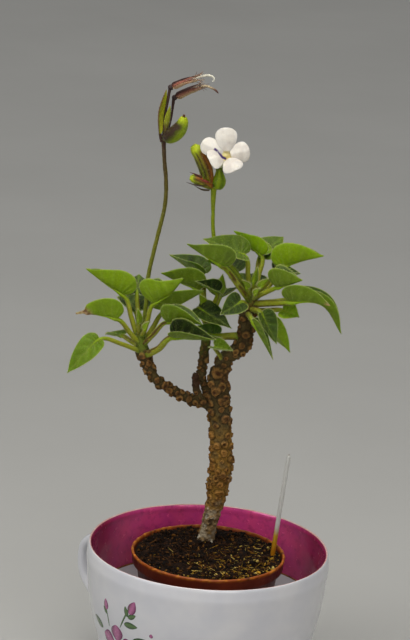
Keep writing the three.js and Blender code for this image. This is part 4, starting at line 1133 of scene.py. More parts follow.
def soil_plug():
    sides, top_rings = (200, 80) if FINE else (60, 20)
    angle = round_angles(sides)
    rings = [np.stack([r * np.cos(angle), r * np.sin(angle), np.full(sides, z)], -1) for r, z in SOIL_WALL]
    for r in np.linspace(SOIL_EDGE_RADIUS, 0.4, top_rings):
        x, y = r * np.cos(angle), r * np.sin(angle)
        ring = np.stack([x, y, soil_height(x, y)], -1)
        rough = 0.75 * noise(ring, 2.6, 51, 2) + 0.28 * noise(ring, 0.7, 52, 2)
        ring[:, 2] += rough * min(1.0, (SOIL_EDGE_RADIUS - r) / 1.5)
        rings.append(ring)
    rings = np.array(rings)
    shade = smooth(-0.6, 0.9, noise(rings, 1.2, 53, 3))
    tints = mix(SOIL_COLOURS[0] * 0.8, SOIL_COLOURS[2], 0.75 * shade**2)
    return skin(rings, tints, np.array([0, 0, SOIL_BASE]))


def soil_tints(x, y, rng, pale):
    """A colour for each crumb; the golden ones lie mostly at the front and the right"""
    lean = np.clip(0.12 + 0.034 * x - 0.026 * y, 0.03, 1.4)
    pick = rng.random(len(x))
    golden = pale * lean
    index = np.where(pick < golden, 4, np.where(pick < golden + 0.1, 3, -1))
    index = np.where(pick < golden * 0.35, 5, index)
    dark = rng.choice(3, len(x), p=(0.45, 0.33, 0.22))
    index = np.where(index < 0, dark, index)
    return SOIL_COLOURS[index] * rng.uniform(0.7, 1.25, len(x))[:, None]


def scattered(count, rng, reach):
    r, angle = reach * np.sqrt(rng.random(count)), rng.uniform(0, 2 * np.pi, count)
    return r * np.cos(angle), r * np.sin(angle)


def crumbs(corners, triangles, count, low, high, rng, pale):
    """Many stretched and turned copies of one small solid, of sizes from low to high, on top of the mix"""
    x, y = scattered(count, rng, CRUMB_REACH)
    size = rng.uniform(low, high, count) * rng.uniform(0.6, 1, count)
    stretch = rng.uniform(0.55, 1.35, (count, 1, 3))
    spin = np.linalg.qr(rng.normal(size=(count, 3, 3)))[0]
    local = corners * stretch * rng.uniform(0.75, 1.2, (count, len(corners), 1))
    local = np.einsum("nij,nkj->nki", spin, local) * size[:, None, None]
    place = np.stack([x, y, soil_height(x, y) + 0.75 * noise(np.stack([x, y, 0 * x], -1), 2.6, 51, 2)], -1)
    place[:, 2] += size * 0.35
    points = (local + place[:, None]).reshape(-1, 3)
    faces = (triangles[None] + len(corners) * np.arange(count)[:, None, None]).reshape(-1, 3)
    tints = np.repeat(soil_tints(x, y, rng, pale), len(corners), 0)
    return points, oriented(points, faces), tints


def strands(paths, radii, tints):
    """Thin three-sided fibres: paths is one polyline each, with a radius and a tint each"""
    count, steps = paths.shape[:2]
    ahead = unit(paths[:, -1] - paths[:, 0])
    side = unit(np.cross(ahead, unit(ahead[:, ::-1] + (0.3, 0.1, 0.7))))
    other = np.cross(ahead, side)
    rings = []
    for k in range(3):
        angle = 2 * np.pi * k / 3
        rings.append(side * math.cos(angle) + other * math.sin(angle))
    taper = np.interp(np.linspace(0, 1, steps), [0, 0.15, 0.8, 1], [0.4, 1, 0.9, 0.3])
    offset = np.stack(rings, 1)[:, None] * (radii[:, None] * taper[None])[..., None, None]
    points = (paths[:, :, None] + offset).reshape(-1, 3)
    j = np.arange(3)
    n = (j + 1) % 3
    faces = []
    for i in range(steps - 1):
        a, b = 3 * i + j, 3 * i + n
        faces += [np.stack([a, b, b + 3], 1), np.stack([a, b + 3, a + 3], 1)]
    last = 3 * (steps - 1)
    faces += [np.array([[2, 1, 0]]), np.array([[last, last + 1, last + 2]])]
    faces = (np.vstack(faces)[None] + 3 * steps * np.arange(count)[:, None, None]).reshape(-1, 3)
    return points, faces, np.repeat(tints, 3 * steps, 0)


def soil_fibres(count, rng):
    x, y = scattered(count, rng, FIBRE_REACH)
    place = np.stack([x, y, soil_height(x, y) + rng.uniform(0.1, 0.8, count)], -1)
    turn = rng.uniform(0, 2 * np.pi, count)
    ahead = np.stack([np.cos(turn), np.sin(turn), rng.normal(0, 0.25, count)], -1)
    bend = unit(rng.normal(size=(count, 3))) * rng.uniform(0.1, 0.5, count)[:, None]
    length = rng.uniform(1.0, 5.0, count)[:, None, None]
    s = np.linspace(-0.5, 0.5, 6)[None, :, None]
    paths = place[:, None] + length * (ahead[:, None] * s + bend[:, None] * (s * s - 0.1))
    inside = np.hypot(paths[..., 0], paths[..., 1]).max(1) < FIBRE_LIMIT
    tints = soil_tints(x, y, rng, 0.32)
    return strands(paths[inside], rng.uniform(0.05, 0.14, count)[inside], tints[inside])


def soil_shape():
    rng = seeded("soil")
    phi = (1 + 5**0.5) / 2
    corners = unit(np.array([
        (-1, phi, 0), (1, phi, 0), (-1, -phi, 0), (1, -phi, 0), (0, -1, phi), (0, 1, phi), (0, -1, -phi),
        (0, 1, -phi), (phi, 0, -1), (phi, 0, 1), (-phi, 0, -1), (-phi, 0, 1),
    ]))
    triangles = np.array([
        (0, 11, 5), (0, 5, 1), (0, 1, 7), (0, 7, 10), (0, 10, 11), (1, 5, 9), (5, 11, 4), (11, 10, 2),
        (10, 7, 6), (7, 1, 8), (3, 9, 4), (3, 4, 2), (3, 2, 6), (3, 6, 8), (3, 8, 9), (4, 9, 5), (2, 4, 11),
        (6, 2, 10), (8, 6, 7), (9, 8, 1),
    ])
    grain = np.array([(1, 0, 0), (-1, 0, 0), (0, 1, 0), (0, -1, 0), (0, 0, 1), (0, 0, -1)], float)
    grain_faces = np.array([
        (0, 2, 4), (2, 1, 4), (1, 3, 4), (3, 0, 4), (2, 0, 5), (1, 2, 5), (3, 1, 5), (0, 3, 5),
    ])
    return joined([
        soil_plug(),
        crumbs(corners, triangles, int(CRUMB_COUNT * SOIL_SHARE), 0.3, 0.9, rng, 0.10),
        crumbs(grain, grain_faces, int(GRAIN_COUNT * SOIL_SHARE), 0.14, 0.4, rng, 0.18),
        soil_fibres(int(FIBRE_COUNT * SOIL_SHARE), rng),
    ])


add_piece("peaty_mix", soil_shape(), [PEAT], ["potting_mix"], flat=True)


# Nursery pot

POT_BASE, POT_TOP, BAND = 8.8, 59.6, 5
POT_PROFILE = [
    (0, POT_BASE), (19.2, POT_BASE), (19.7, POT_BASE + 0.15), (20, POT_BASE + 0.6), (23.2, 32),
    (26.3, POT_TOP - BAND - 0.2), (26.5, POT_TOP - BAND), (27.6, POT_TOP - BAND),
    (27.85, POT_TOP - BAND + 0.2), (28, POT_TOP - BAND + 0.7), (28.3, POT_TOP - 1.5),
    (28.5, POT_TOP - 0.9), (28.55, POT_TOP - 0.5),
    (28.4, POT_TOP - 0.15), (28.05, POT_TOP), (27.75, POT_TOP - 0.08), (27.55, POT_TOP - 0.4),
    (27.45, POT_TOP - 1.2), (27.1, POT_TOP - 3), (25.9, POT_TOP - BAND - 0.3), (25.2, POT_TOP - BAND - 1),
    (22, 32), (18.9, POT_BASE + 1.8), (18.6, POT_BASE + 1.3), (18.2, POT_BASE + 1.1), (0, POT_BASE + 1.1),
]
DRAIN_HOLES, DRAIN_RADIUS, DRAIN_CIRCLE = 5, 1.9, 12


def cut(shape, cutters):
    """The shape with the cutters taken away"""
    kept, taken = scratch("kept", shape), scratch("cutters", joined(cutters))
    boolean = kept.modifiers.new("cut", "BOOLEAN")
    boolean.operation, boolean.solver, boolean.object = "DIFFERENCE", "EXACT", taken
    return modified(kept, taken)


def pot_shape():
    holes = []
    for index in range(DRAIN_HOLES):
        x, y, _ = DRAIN_CIRCLE * turned(360 * index / DRAIN_HOLES)
        line = [(x, y, POT_BASE - 1), (x, y, POT_BASE + 2.5)]
        holes.append(sweep(line, (DRAIN_RADIUS, DRAIN_RADIUS), 32, 3, (1, 1, 1)))
    points, faces, _ = cut(lathe(POT_PROFILE, 180, (1, 1, 1)), holes)
    radius, height = np.hypot(points[:, 0], points[:, 1]), points[:, 2]
    rough = noise(points, 0.9, 61, 3)
    at_rim = smooth(POT_TOP - 1.3, POT_TOP - 0.5, height)
    outward = points * (1, 1, 0) / np.maximum(radius, 1)[:, None]
    points = points + at_rim[:, None] * rough[:, None] * (0.1 * outward + np.array([0, 0, 0.09]))
    wall = mix(srgb(120, 50, 26), srgb(98, 38, 20), smooth(-0.5, 0.5, noise(points, 7, 62, 2)))
    # Painted light: the rim's top is a lighter orange than the wall, with painted highlights on its raised
    # bumps
    rim = mix(srgb(150, 72, 20), srgb(196, 120, 36), smooth(0.0, 0.7, rough))
    rim = mix(rim, srgb(92, 46, 18), smooth(0.3, 0.9, noise(points, 1.7, 63, 2)))
    return points, faces, mix(wall, rim, at_rim)


add_piece("nursery_pot_red_brown", pot_shape(), [POT], ["nursery_pot"])


# Teacup. Its profile is radius and height, and its inside is lustred down to a gold line.

CUP_FOOT = [(0, 1), (19.2, 1), (19.8, 0.6), (20.1, 0.15), (20.6, 0), (22.8, 0), (23.3, 0.3), (23.5, 0.9)]
CUP_OUTER = [
    (23.5, 4), (31, 10.5), (37.2, 20), (41.2, 31), (43.6, 43), (44.75, 54), (45, 57.2), (44.82, 59.3),
]
CUP_INNER = [(43.6, 61.3), (43.4, 54), (42, 43), (39.2, 31), (34.8, 20), (29.5, 12.3), (23, 8.5)]
CUP_FLOOR = [(21, 8.5), (0, 8.5)]
LIP_RADIUS, LIP_HEIGHT, LIP_ROUND = 44.0, 61.25, 0.75
LIP_INNER_DROP, LIP_OUTER_DROP = 3.0 * LIP_ROUND, 3.1 * LIP_ROUND
GOLD_HEIGHT, GOLD_HALF = 41, 0.33
CUP_WALL = smooth_profile(CUP_OUTER, 70)
HANDLE_BEARING = 143
HANDLE_LINE = [
    (43.75, 49.9), (48, 50.3), (53.5, 50.2), (57.8, 47), (59, 41.2), (57.6, 34.6), (53, 29), (46.5, 25.6),
    (41.5, 24.6), (38, 25.2),
]
HANDLE_HALF_WIDTH, HANDLE_HALF_THICKNESS = 3.2, 2.0
PORCELAIN_FINISH, LUSTRE_FINISH, GOLD_FINISH, RIM_FINISH, ENAMEL_FINISH = range(5)


def cup_bowl():
    """The bowl, and the finish of each of its triangles"""
    inner = smooth_profile(CUP_INNER, 80)
    inner = inner[inner[:, 1] < LIP_HEIGHT - 1.6]
    for height in (GOLD_HEIGHT + GOLD_HALF, GOLD_HEIGHT - GOLD_HALF):
        row = np.searchsorted(-inner[:, 1], -height)
        radius = np.interp(height, inner[::-1, 1], inner[::-1, 0])
        inner = np.insert(inner, row, [radius, height], 0)
    angle = np.radians(np.linspace(0, 180, 19)[1:-1])
    drop = np.where(angle > np.pi / 2, LIP_INNER_DROP, LIP_OUTER_DROP)
    lip_height = LIP_HEIGHT + LIP_ROUND - drop * (1 - np.sin(angle))
    lip = np.column_stack([LIP_RADIUS + LIP_ROUND * np.cos(angle), lip_height])
    profile = np.vstack([CUP_FOOT, CUP_WALL, lip, inner, CUP_FLOOR])
    sides = 224 if FINE else 64
    bowl = lathe(profile, sides, (1, 1, 1))
    crest = len(CUP_FOOT) + len(CUP_WALL) + len(lip) // 2
    band = np.arange(len(profile) - 3) + 1
    height = (profile[1:-2, 1] + profile[2:-1, 1]) / 2
    finish = np.full(len(band), PORCELAIN_FINISH)
    finish[(band > crest) & (height > GOLD_HEIGHT + GOLD_HALF)] = LUSTRE_FINISH
    finish[(band > crest) & (np.abs(height - GOLD_HEIGHT) < GOLD_HALF)] = GOLD_FINISH
    finish[(band >= crest - 1) & (band < crest + 3)] = RIM_FINISH
    finish = np.repeat(finish, sides)
    return bowl, np.concatenate([finish, finish, np.zeros(2 * sides, int)])


def cup_handle():
    """The handle, wider at its two roots, and the finish of each of its triangles"""
    steps, sides = 110, 36
    t = np.linspace(0, 1, steps)
    line = along([(r, z, 0) for r, z in HANDLE_LINE], t)
    ahead = heading([(r, z, 0) for r, z in HANDLE_LINE], t)
    out, side = turned(HANDLE_BEARING), turned(HANDLE_BEARING + 90)
    angle = round_angles(sides)
    flare = 1 + 0.3 * np.exp(-((t / 0.04) ** 2)) + 0.45 * np.exp(-(((1 - t) / 0.05) ** 2))
    wide = HANDLE_HALF_WIDTH * np.sign(np.cos(angle)) * np.abs(np.cos(angle)) ** 0.85
    thick = HANDLE_HALF_THICKNESS * np.sign(np.sin(angle)) * np.abs(np.sin(angle)) ** 0.85
    wide, thick = flare[:, None] * wide, flare[:, None] * thick
    radius = line[:, 0, None] - ahead[:, 1, None] * thick
    height = line[:, 1, None] + ahead[:, 0, None] * thick
    rings = radius[..., None] * out + wide[..., None] * side + height[..., None] * np.array([0, 0, 1.0])
    handle = skin(rings, (1, 1, 1))
    column = np.tile(np.arange(sides), steps - 1)
    on_line = np.abs(column - (sides // 4 - 0.5)) < 2
    finish = np.concatenate([on_line, on_line, np.zeros(2 * sides, bool)])
    return handle, np.where(finish, GOLD_FINISH, PORCELAIN_FINISH)


SPRIG_BEARING = math.radians(-130)
SPRIG_TOP, SPRIG_SCALE = 49.5, 1.4
PAINT_BASE, PAINT_DOME, PAINT_ROOT = 0.03, 0.07, 0.15
MAUVE, ROSE = srgb(110, 34, 88), srgb(184, 104, 150)
SPRIG_LEAF, SPRIG_LEAF_LIGHT = srgb(38, 62, 40), srgb(86, 118, 62)
GREY_LEAF, GREY_LEAF_LIGHT = srgb(70, 78, 84), srgb(120, 128, 130)
HEART, HEART_LIGHT = srgb(150, 110, 40), srgb(206, 178, 70)


def on_cup(arc, height, lift):
    """A point on the cup's outside, by its distance round from the sprig's middle and its height"""
    radius = np.interp(height, CUP_WALL[:, 1], CUP_WALL[:, 0])
    bearing = SPRIG_BEARING + arc / radius
    radius = radius + lift
    return np.stack([radius * np.cos(bearing), radius * np.sin(bearing), height + 0 * arc], -1)


def painted(arc, height, length, width, turn, edge, heart, blunt=0.8):
    """A raised enamel stroke on the cup, from a root, with its length, width and turn in degrees"""
    arc, height = arc * SPRIG_SCALE, SPRIG_TOP - (SPRIG_TOP - height) * SPRIG_SCALE
    length, width = length * SPRIG_SCALE, width * SPRIG_SCALE
    u = np.linspace(0.02, 0.98, 14)
    v = np.linspace(-1, 1, 9)
    half = 0.5 * width * np.sin(np.pi * u**blunt) ** 0.75
    turn = math.radians(turn)
    along_it, across_it = u[:, None] * length, half[:, None] * v[None]
    x = arc + along_it * math.cos(turn) - across_it * math.sin(turn)
    z = height + along_it * math.sin(turn) + across_it * math.cos(turn)
    top = on_cup(x, z, PAINT_BASE + PAINT_DOME * (1 - v**2)[None] * np.ones_like(x))
    under = on_cup(x, z, -PAINT_ROOT)
    tints = mix(heart, edge, smooth(0.15, 1, np.abs(v))[None] * np.ones_like(x))
    return two_faced(top, under, tints, tints)


def sprig():
    """A small flower, two buds, berries and leaves, of no maker's pattern"""
    shapes = []
    for turn in (18, 90, 162, 234, 306):
        x, z, _ = 1.1 * turned(turn)
        shapes.append(painted(x - 4, z + 36.5, 5.2, 4.6, turn, MAUVE, ROSE, 1.25))
    shapes.append(painted(-5.3, 36.5, 2.6, 2.4, 0, HEART, HEART_LIGHT))
    petal, leaf, grey_leaf = (MAUVE, ROSE), (SPRIG_LEAF, SPRIG_LEAF_LIGHT), (GREY_LEAF, GREY_LEAF_LIGHT)
    for x, z, length, width, turn, colours in (
        (-2.6, 42.4, 9.5, 0.5, 62, leaf), (1.2, 47.6, 4.4, 2.6, 66, petal),
        (0.6, 46.4, 3.0, 1.5, 28, leaf), (0.4, 46.6, 3.0, 1.4, 104, leaf),
        (-0.9, 44.2, 4.6, 1.9, 4, leaf), (-7, 41.2, 5.0, 0.45, 100, leaf),
        (-7.9, 45.8, 3.2, 2.0, 96, petal), (-7.8, 44.6, 2.4, 1.1, 128, leaf),
        (1.4, 39.6, 6.4, 2.6, 14, leaf), (1.8, 36.4, 7.6, 2.8, -12, grey_leaf),
        (-0.6, 32.6, 6.0, 2.6, -48, leaf), (-10.4, 39.6, 5.2, 2.2, 158, leaf),
        (-9.4, 34.0, 6.2, 2.6, 214, leaf), (-4.6, 31.2, 5.4, 2.2, 262, leaf),
        (8.6, 41.0, 1.5, 1.4, 40, petal), (9.8, 39.4, 1.3, 1.2, 10, petal),
        (7.6, 42.6, 1.2, 1.1, 80, petal),
    ):
        shapes.append(painted(x, z, length, width, turn, *colours))
    return joined(shapes)


def add_cup():
    bowl, bowl_finish = cup_bowl()
    handle, handle_finish = cup_handle()
    paint = sprig()
    shape = joined([bowl, handle, paint])
    finish = np.concatenate([bowl_finish, handle_finish, np.full(len(paint[1]), ENAMEL_FINISH)])
    finishes = [porcelain(), lustre(), gold(), rim_line(), ENAMEL]
    add_piece("lustre_teacup", shape, finishes, ["teacup"], finish)


add_cup()


# Marker stick: a milky plastic rod, stained where it stood in the mix


def stick_shape():
    """A thin rod with a rounded top"""
    line = [(23, 2.3, 48), (23.9, 2, 59), (27.2, 0, 99.5)]
    t = np.concatenate([np.linspace(0, 0.985, 50), 1 - 0.015 * np.cos(np.linspace(0.2, 1.5, 6))])
    radii = np.interp(t, [0, 0.1, 0.5, 1], [0.45, 0.8, 0.9, 0.76])
    radii[50:] *= np.sqrt(np.maximum(1 - ((t[50:] - 0.985) / 0.0152) ** 2, 0.02))
    rings = ring_points(along(line, t), radii, 20)
    height = rings[..., 2] + 1.5 * noise(rings, 2.5, 71, 2)
    tints = mix(srgb(172, 112, 14), srgb(196, 156, 40), smooth(60, 68, height))
    tints = mix(tints, srgb(206, 206, 200), smooth(67, 72, height))
    spot = smooth(99.0, 99.4, rings[..., 2])
    return skin(rings, mix(tints, srgb(110, 84, 58), 0.8 * spot))


add_piece("milky_stick", stick_shape(), [ROD], ["marker_stick"])


# Flower stalks

LEFT_STALK = (
    [(-29.2, 1.2, 141.8), (-28.4, 1.8, 152), (-28.3, 2, 162), (-27, 2, 171), (-25.2, 2, 181), (-23.7, 2, 190),
     (-23.8, 2, 198), (-25, 2, 207.5), (-25.6, 2, 214.2)],
    [0.8, 0.78, 0.76, 0.74, 0.74, 0.74, 0.74, 0.74, 0.85],
)
RIGHT_STALK = (
    [(9, 4, 158.5), (4, 6, 165), (-0.5, 6, 170), (-3.8, 5.4, 174), (-5.6, 5, 179), (-6.4, 5, 188),
     (-6.7, 5, 197)],
    [0.75, 0.75, 0.7, 0.7, 0.7, 0.7, 1.1],
)
PURPLE_BROWN = srgb(70, 44, 38)
YELLOW_GREEN = srgb(168, 182, 22)


def flower_stalk(name, line, radii, colours, bounds, fur):
    """A downy stalk whose colour changes up its length; bounds are heights, one for each colour"""
    rng = seeded(name)
    t = np.linspace(0, 1, 130 if FINE else 50)
    rings = ring_points(along(line, t), at_fraction(radii, t), 20 if FINE else 10)
    outward = unit(rings - rings.mean(1, keepdims=True))
    rings = rings + outward * (0.07 * noise(rings, 1.8, 81, 2))[..., None]
    height = rings[..., 2] + 3 * noise(rings, 6, 82)
    tints = np.stack([np.interp(height, bounds, [c[k] for c in colours]) for k in range(3)], -1)
    stalk = skin(rings, tints)
    return joined([stalk, down(stalk, 2.4 * fur, 0.5, rng, HAIR)])


add_piece(
    "downy_stalk_left",
    flower_stalk(
        "stalk_left", *LEFT_STALK, [srgb(124, 136, 30), srgb(112, 112, 28), srgb(88, 74, 28), PURPLE_BROWN],
        [145, 175, 200, 212], 1.0,
    ),
    [STALK], ["flower_stalk_left"],
)
add_piece(
    "downy_stalk_right",
    flower_stalk("stalk_right", *RIGHT_STALK, [srgb(128, 146, 14), srgb(138, 152, 18)], [165, 195], 1.2),
    [STALK], ["flower_stalk_right"],
)


# Parts of the flower heads


def thick_blade(grid, outward, half, over, under, start, end):
    """A blade round its middle surface, given half its thickness at each point"""
    above = grid + outward * half[..., None]
    below = grid - outward * half[..., None]
    return two_faced(above, below, over, under, start, end)


def bract_shape(name, foot, neck, tip, up, half_width, fold, arch, stalk, back):
    rng = seeded(name)
    curve = leaf_curve(foot, neck, tip, up, arch, (0, 0, 0))
    grid, outward, tau, s, width, start = blade_grid(
        curve, up, half_width, fold, BRACT_OUTLINE, BRACT_SPINE, 50, 10, rng, 0.03,
    )
    span = np.abs(s)[None]
    row = tau[:, None]
    half = 0.27 * rounded_edge(span, width, half_width) + 0.02 * noise(grid, 0.8, 91, 2)
    ribs = 0.5 + 0.5 * np.cos(s[None] * 19) * np.ones_like(row)
    over = mix(srgb(184, 184, 30), srgb(150, 156, 24), 0.6 * ribs)
    over = mix(over, srgb(96, 66, 36), 0.8 * smooth(0.86, 1, span) * np.ones_like(row))
    under = mix(srgb(84, 52, 40), back, smooth(0.05, 0.55, row + 0.2 * noise(grid, 3, 92)))
    blade = thick_blade(grid, outward, half, over, under, start, curve[-1])
    base = sweep(curve[:3], (stalk * 1.15, stalk, stalk * 0.9), 16, 20, PURPLE_BROWN, 0.05, 93)
    return joined([blade, base, down(blade, 1.8, 0.4, rng, HAIR), down(base, 2.0, 0.4, rng, HAIR)])


# Each bract's foot, neck, tip, the way its hollow side faces, its half width, its fold, its arch, its foot's
# radius and its back's colour
BRACTS = {
    "bract_outer": ((-26.2, 1.6, 213.2), (-27.0, 1.2, 216.2), (-25.6, 1.2, 232.2), (0.75, -0.65, 0.1),
                    2.5, 36, -1.7, 0.6, srgb(112, 78, 48)),
    "bract_inner": ((-25.5, 1.2, 213.4), (-25, -0.4, 216.6), (-23.9, -1.2, 227), (-0.5, 0.8, 0),
                    1.5, 40, -0.4, 0.5, srgb(142, 146, 34)),
}
for name, row in BRACTS.items():
    add_piece(f"downy_{name}", bract_shape(name, *row), [STALK], [name])


def sided(rings, line, direction):
    """How far each point of the rings lies towards a direction, from -1 to 1"""
    outward = rings - line[:, None]
    return outward @ unit(direction) / np.maximum(np.linalg.norm(outward, axis=-1), 1e-6)


BODY_SIDES, BODY_RINGS = 28, 60


def swollen(points, radii):
    """Rings of a stout body along a curve, with its middle line and each ring's fraction"""
    t = np.linspace(0, 1, BODY_RINGS)
    spread = np.linspace(0, 1, len(radii)) * 10
    radius = along(np.column_stack([spread, radii, np.zeros(len(radii))]), t)[:, 1]
    line = along(points, t)
    return ring_points(line, np.maximum(radius, 0.05), BODY_SIDES), line, row_wise(t, BODY_SIDES)


def capsule_shape():
    rng = seeded("capsule")
    rings, line, t = swollen(
        [(-25.4, 1.6, 214.6), (-23.4, -0.2, 215.6), (-20.9, -1.6, 217.8), (-19.3, -2.1, 220.6),
         (-18.7, -2.3, 223.4)],
        [0.7, 1.8, 2.4, 2.7, 2.8, 2.8, 2.65, 2.4, 2.1, 1.75, 1.1],
    )
    right = sided(rings, line, (0.85, -0.25, -0.45))
    seam = np.exp(-(((right - 0.15) / 0.1) ** 2))
    rings = raised(rings, line, 0.05 * noise(rings, 2.2, 101, 2) - 0.1 * seam)
    patch = noise(rings, 2.4, 102, 2)
    tints = mix(srgb(136, 156, 14), srgb(98, 112, 14), smooth(-0.3, 0.6, patch))
    tints = mix(tints, YELLOW_GREEN, smooth(0.72, 0.95, t))
    purple = smooth(0.55, -0.05, right + 0.25 * patch) * smooth(0.9, 0.7, t)
    tints = mix(tints, srgb(56, 30, 28), 0.95 * purple)
    tints = mix(tints, srgb(104, 96, 40), 0.7 * smooth(0.16, 0.02, t))
    body = skin(rings, tints)
    end = [(-18.9, -2.3, 223.4), (-18.7, -2.4, 224.3)]
    scar = sweep(end, (0.55, 0.3), 14, 10, srgb(92, 58, 36), 0.08, 103)
    return joined([body, scar, down(body, 1.6, 0.4, rng, HAIR)])


add_piece("bean_capsule", capsule_shape(), [STALK], ["seed_capsule"])


def claw(points, radius, tint):
    """A narrow pointed sepal"""
    return sweep(points, (radius * 0.8, radius, radius * 0.6, 0.04), 10, 20, tint)


def calyx_shape():
    rng = seeded("calyx")
    rings, line, t = swollen(
        [(-6.3, 5, 196.6), (-5.2, 4.6, 198.4), (-4.9, 4.2, 200.7), (-5.0, 3.7, 203), (-4.9, 3.2, 205.2)],
        [0.7, 1.7, 2.3, 2.5, 2.45, 2.2, 1.8, 1.45, 1.2, 1.1, 1.15],
    )
    ribs = np.cos(5 * np.arctan2(sided(rings, line, (1, 0, 0)), sided(rings, line, (0, -1, 0.2))))
    rings = raised(rings, line, 0.07 * ribs + 0.05 * noise(rings, 1.4, 111, 2))
    tints = mix(srgb(104, 130, 8), srgb(142, 162, 16), smooth(-0.6, 0.8, ribs + 0.5 * noise(rings, 2, 112)))
    tints = mix(tints, srgb(90, 104, 30), smooth(0.75, 1.0, t))
    body = skin(rings, tints)
    parts = [body]
    root = np.array([-4.85, 3.5, 203.2])
    for bearing, tint in ((-20, srgb(74, 70, 32)), (60, srgb(96, 104, 36)), (150, srgb(96, 104, 36)),
                          (215, srgb(110, 124, 38))):
        out = turned(bearing)
        points = [root + 0.9 * out, root + 1.5 * out + (0, 0, 0.9), root + 2.2 * out + (0, 0, 2.0)]
        parts.append(claw(points, 0.42, tint))
    return joined([*parts, down(body, 2.6, 0.45, rng, HAIR)])


add_piece("pear_calyx", calyx_shape(), [STALK], ["calyx"])


def bud_shape(name, points, radii, stripes, claws):
    """A closed bud with dark furrows, at these places across it, and with sepals round its base"""
    rng = seeded(name)
    rings, line, t = swollen(points, radii)
    right = sided(rings, line, (0.8, -0.3, 0.5))
    ridge = sum(np.exp(-(((right - place) / 0.12) ** 2)) for place in stripes)
    rings = raised(rings, line, 0.05 * noise(rings, 1.2, 121, 2) - 0.12 * ridge)
    tints = mix(srgb(106, 118, 16), srgb(136, 132, 22), smooth(-0.4, 0.5, noise(rings, 1.6, 122, 2)))
    tints = mix(tints, srgb(158, 96, 32), smooth(0.25, 0.7, right) * smooth(0.9, 0.7, t))
    tints = mix(tints, srgb(186, 200, 34), smooth(0.66, 0.9, t - 0.12 * right))
    furrow = np.clip(0.95 * ridge, 0, 0.92) * smooth(0.14, 0.3, t) * smooth(0.92, 0.78, t)
    tints = mix(tints, srgb(62, 26, 24), furrow)
    body = skin(rings, tints)
    parts = [body] + [claw(points, radius, tint) for points, radius, tint in claws]
    return joined([*parts, down(body, 3.0, 0.5, rng, HAIR)])


add_piece(
    "striped_bud_large",
    bud_shape(
        "bud_large",
        [(-7.4, 5, 196.6), (-9.3, 3.6, 201.8), (-10.8, 2.5, 206), (-12.7, 1.8, 209.6), (-14.9, 1.2, 212.4)],
        [0.5, 1.4, 2.1, 2.4, 2.5, 2.55, 2.5, 2.4, 2.3, 2.1, 1.2], (0.05, 0.6, -0.6),
        [([(-9.4, 3.0, 197.4), (-10.2, 1.6, 199.6), (-10.8, 1.0, 202.4)], 0.4, srgb(110, 118, 40)),
         ([(-8.4, 3.4, 197.6), (-7.9, 2.6, 200.4), (-8.3, 2.0, 203.2)], 0.4, srgb(126, 74, 44))],
    ),
    [STALK], ["flower_bud_large"],
)
add_piece(
    "striped_bud_small",
    bud_shape(
        "bud_small",
        [(-7.2, 5, 196.4), (-9.3, 3.4, 198.3), (-11.6, 2.8, 199.5), (-13.4, 2.6, 200.1), (-15.4, 2.5, 200.5)],
        [0.6, 1.2, 1.6, 1.8, 1.85, 1.85, 1.75, 1.45, 0.8], (0.4,),
        [([(-11.2, 1.6, 200.9), (-13.6, 1.4, 202.1), (-15.6, 1.4, 202.7)], 0.34, srgb(84, 48, 42)),
         ([(-9.8, 1.8, 198.0), (-13.0, 1.2, 198.2), (-16.6, 1.2, 199.0)], 0.34, srgb(64, 46, 36)),
         ([(-8.2, 2.8, 196.2), (-11.0, 1.9, 196.6), (-13.6, 1.8, 197.8)], 0.36, srgb(72, 58, 34)),
         ([(-8.6, 2.0, 199.4), (-10.2, 1.1, 200.0), (-12.6, 0.8, 201.0)], 0.4, srgb(140, 60, 52))],
    ),
    [STALK], ["flower_bud_small"],
)


STRIPS, STRIP_SIDES, STRIP_THICKNESS = 15, 12, 0.13
FRINGE = 34


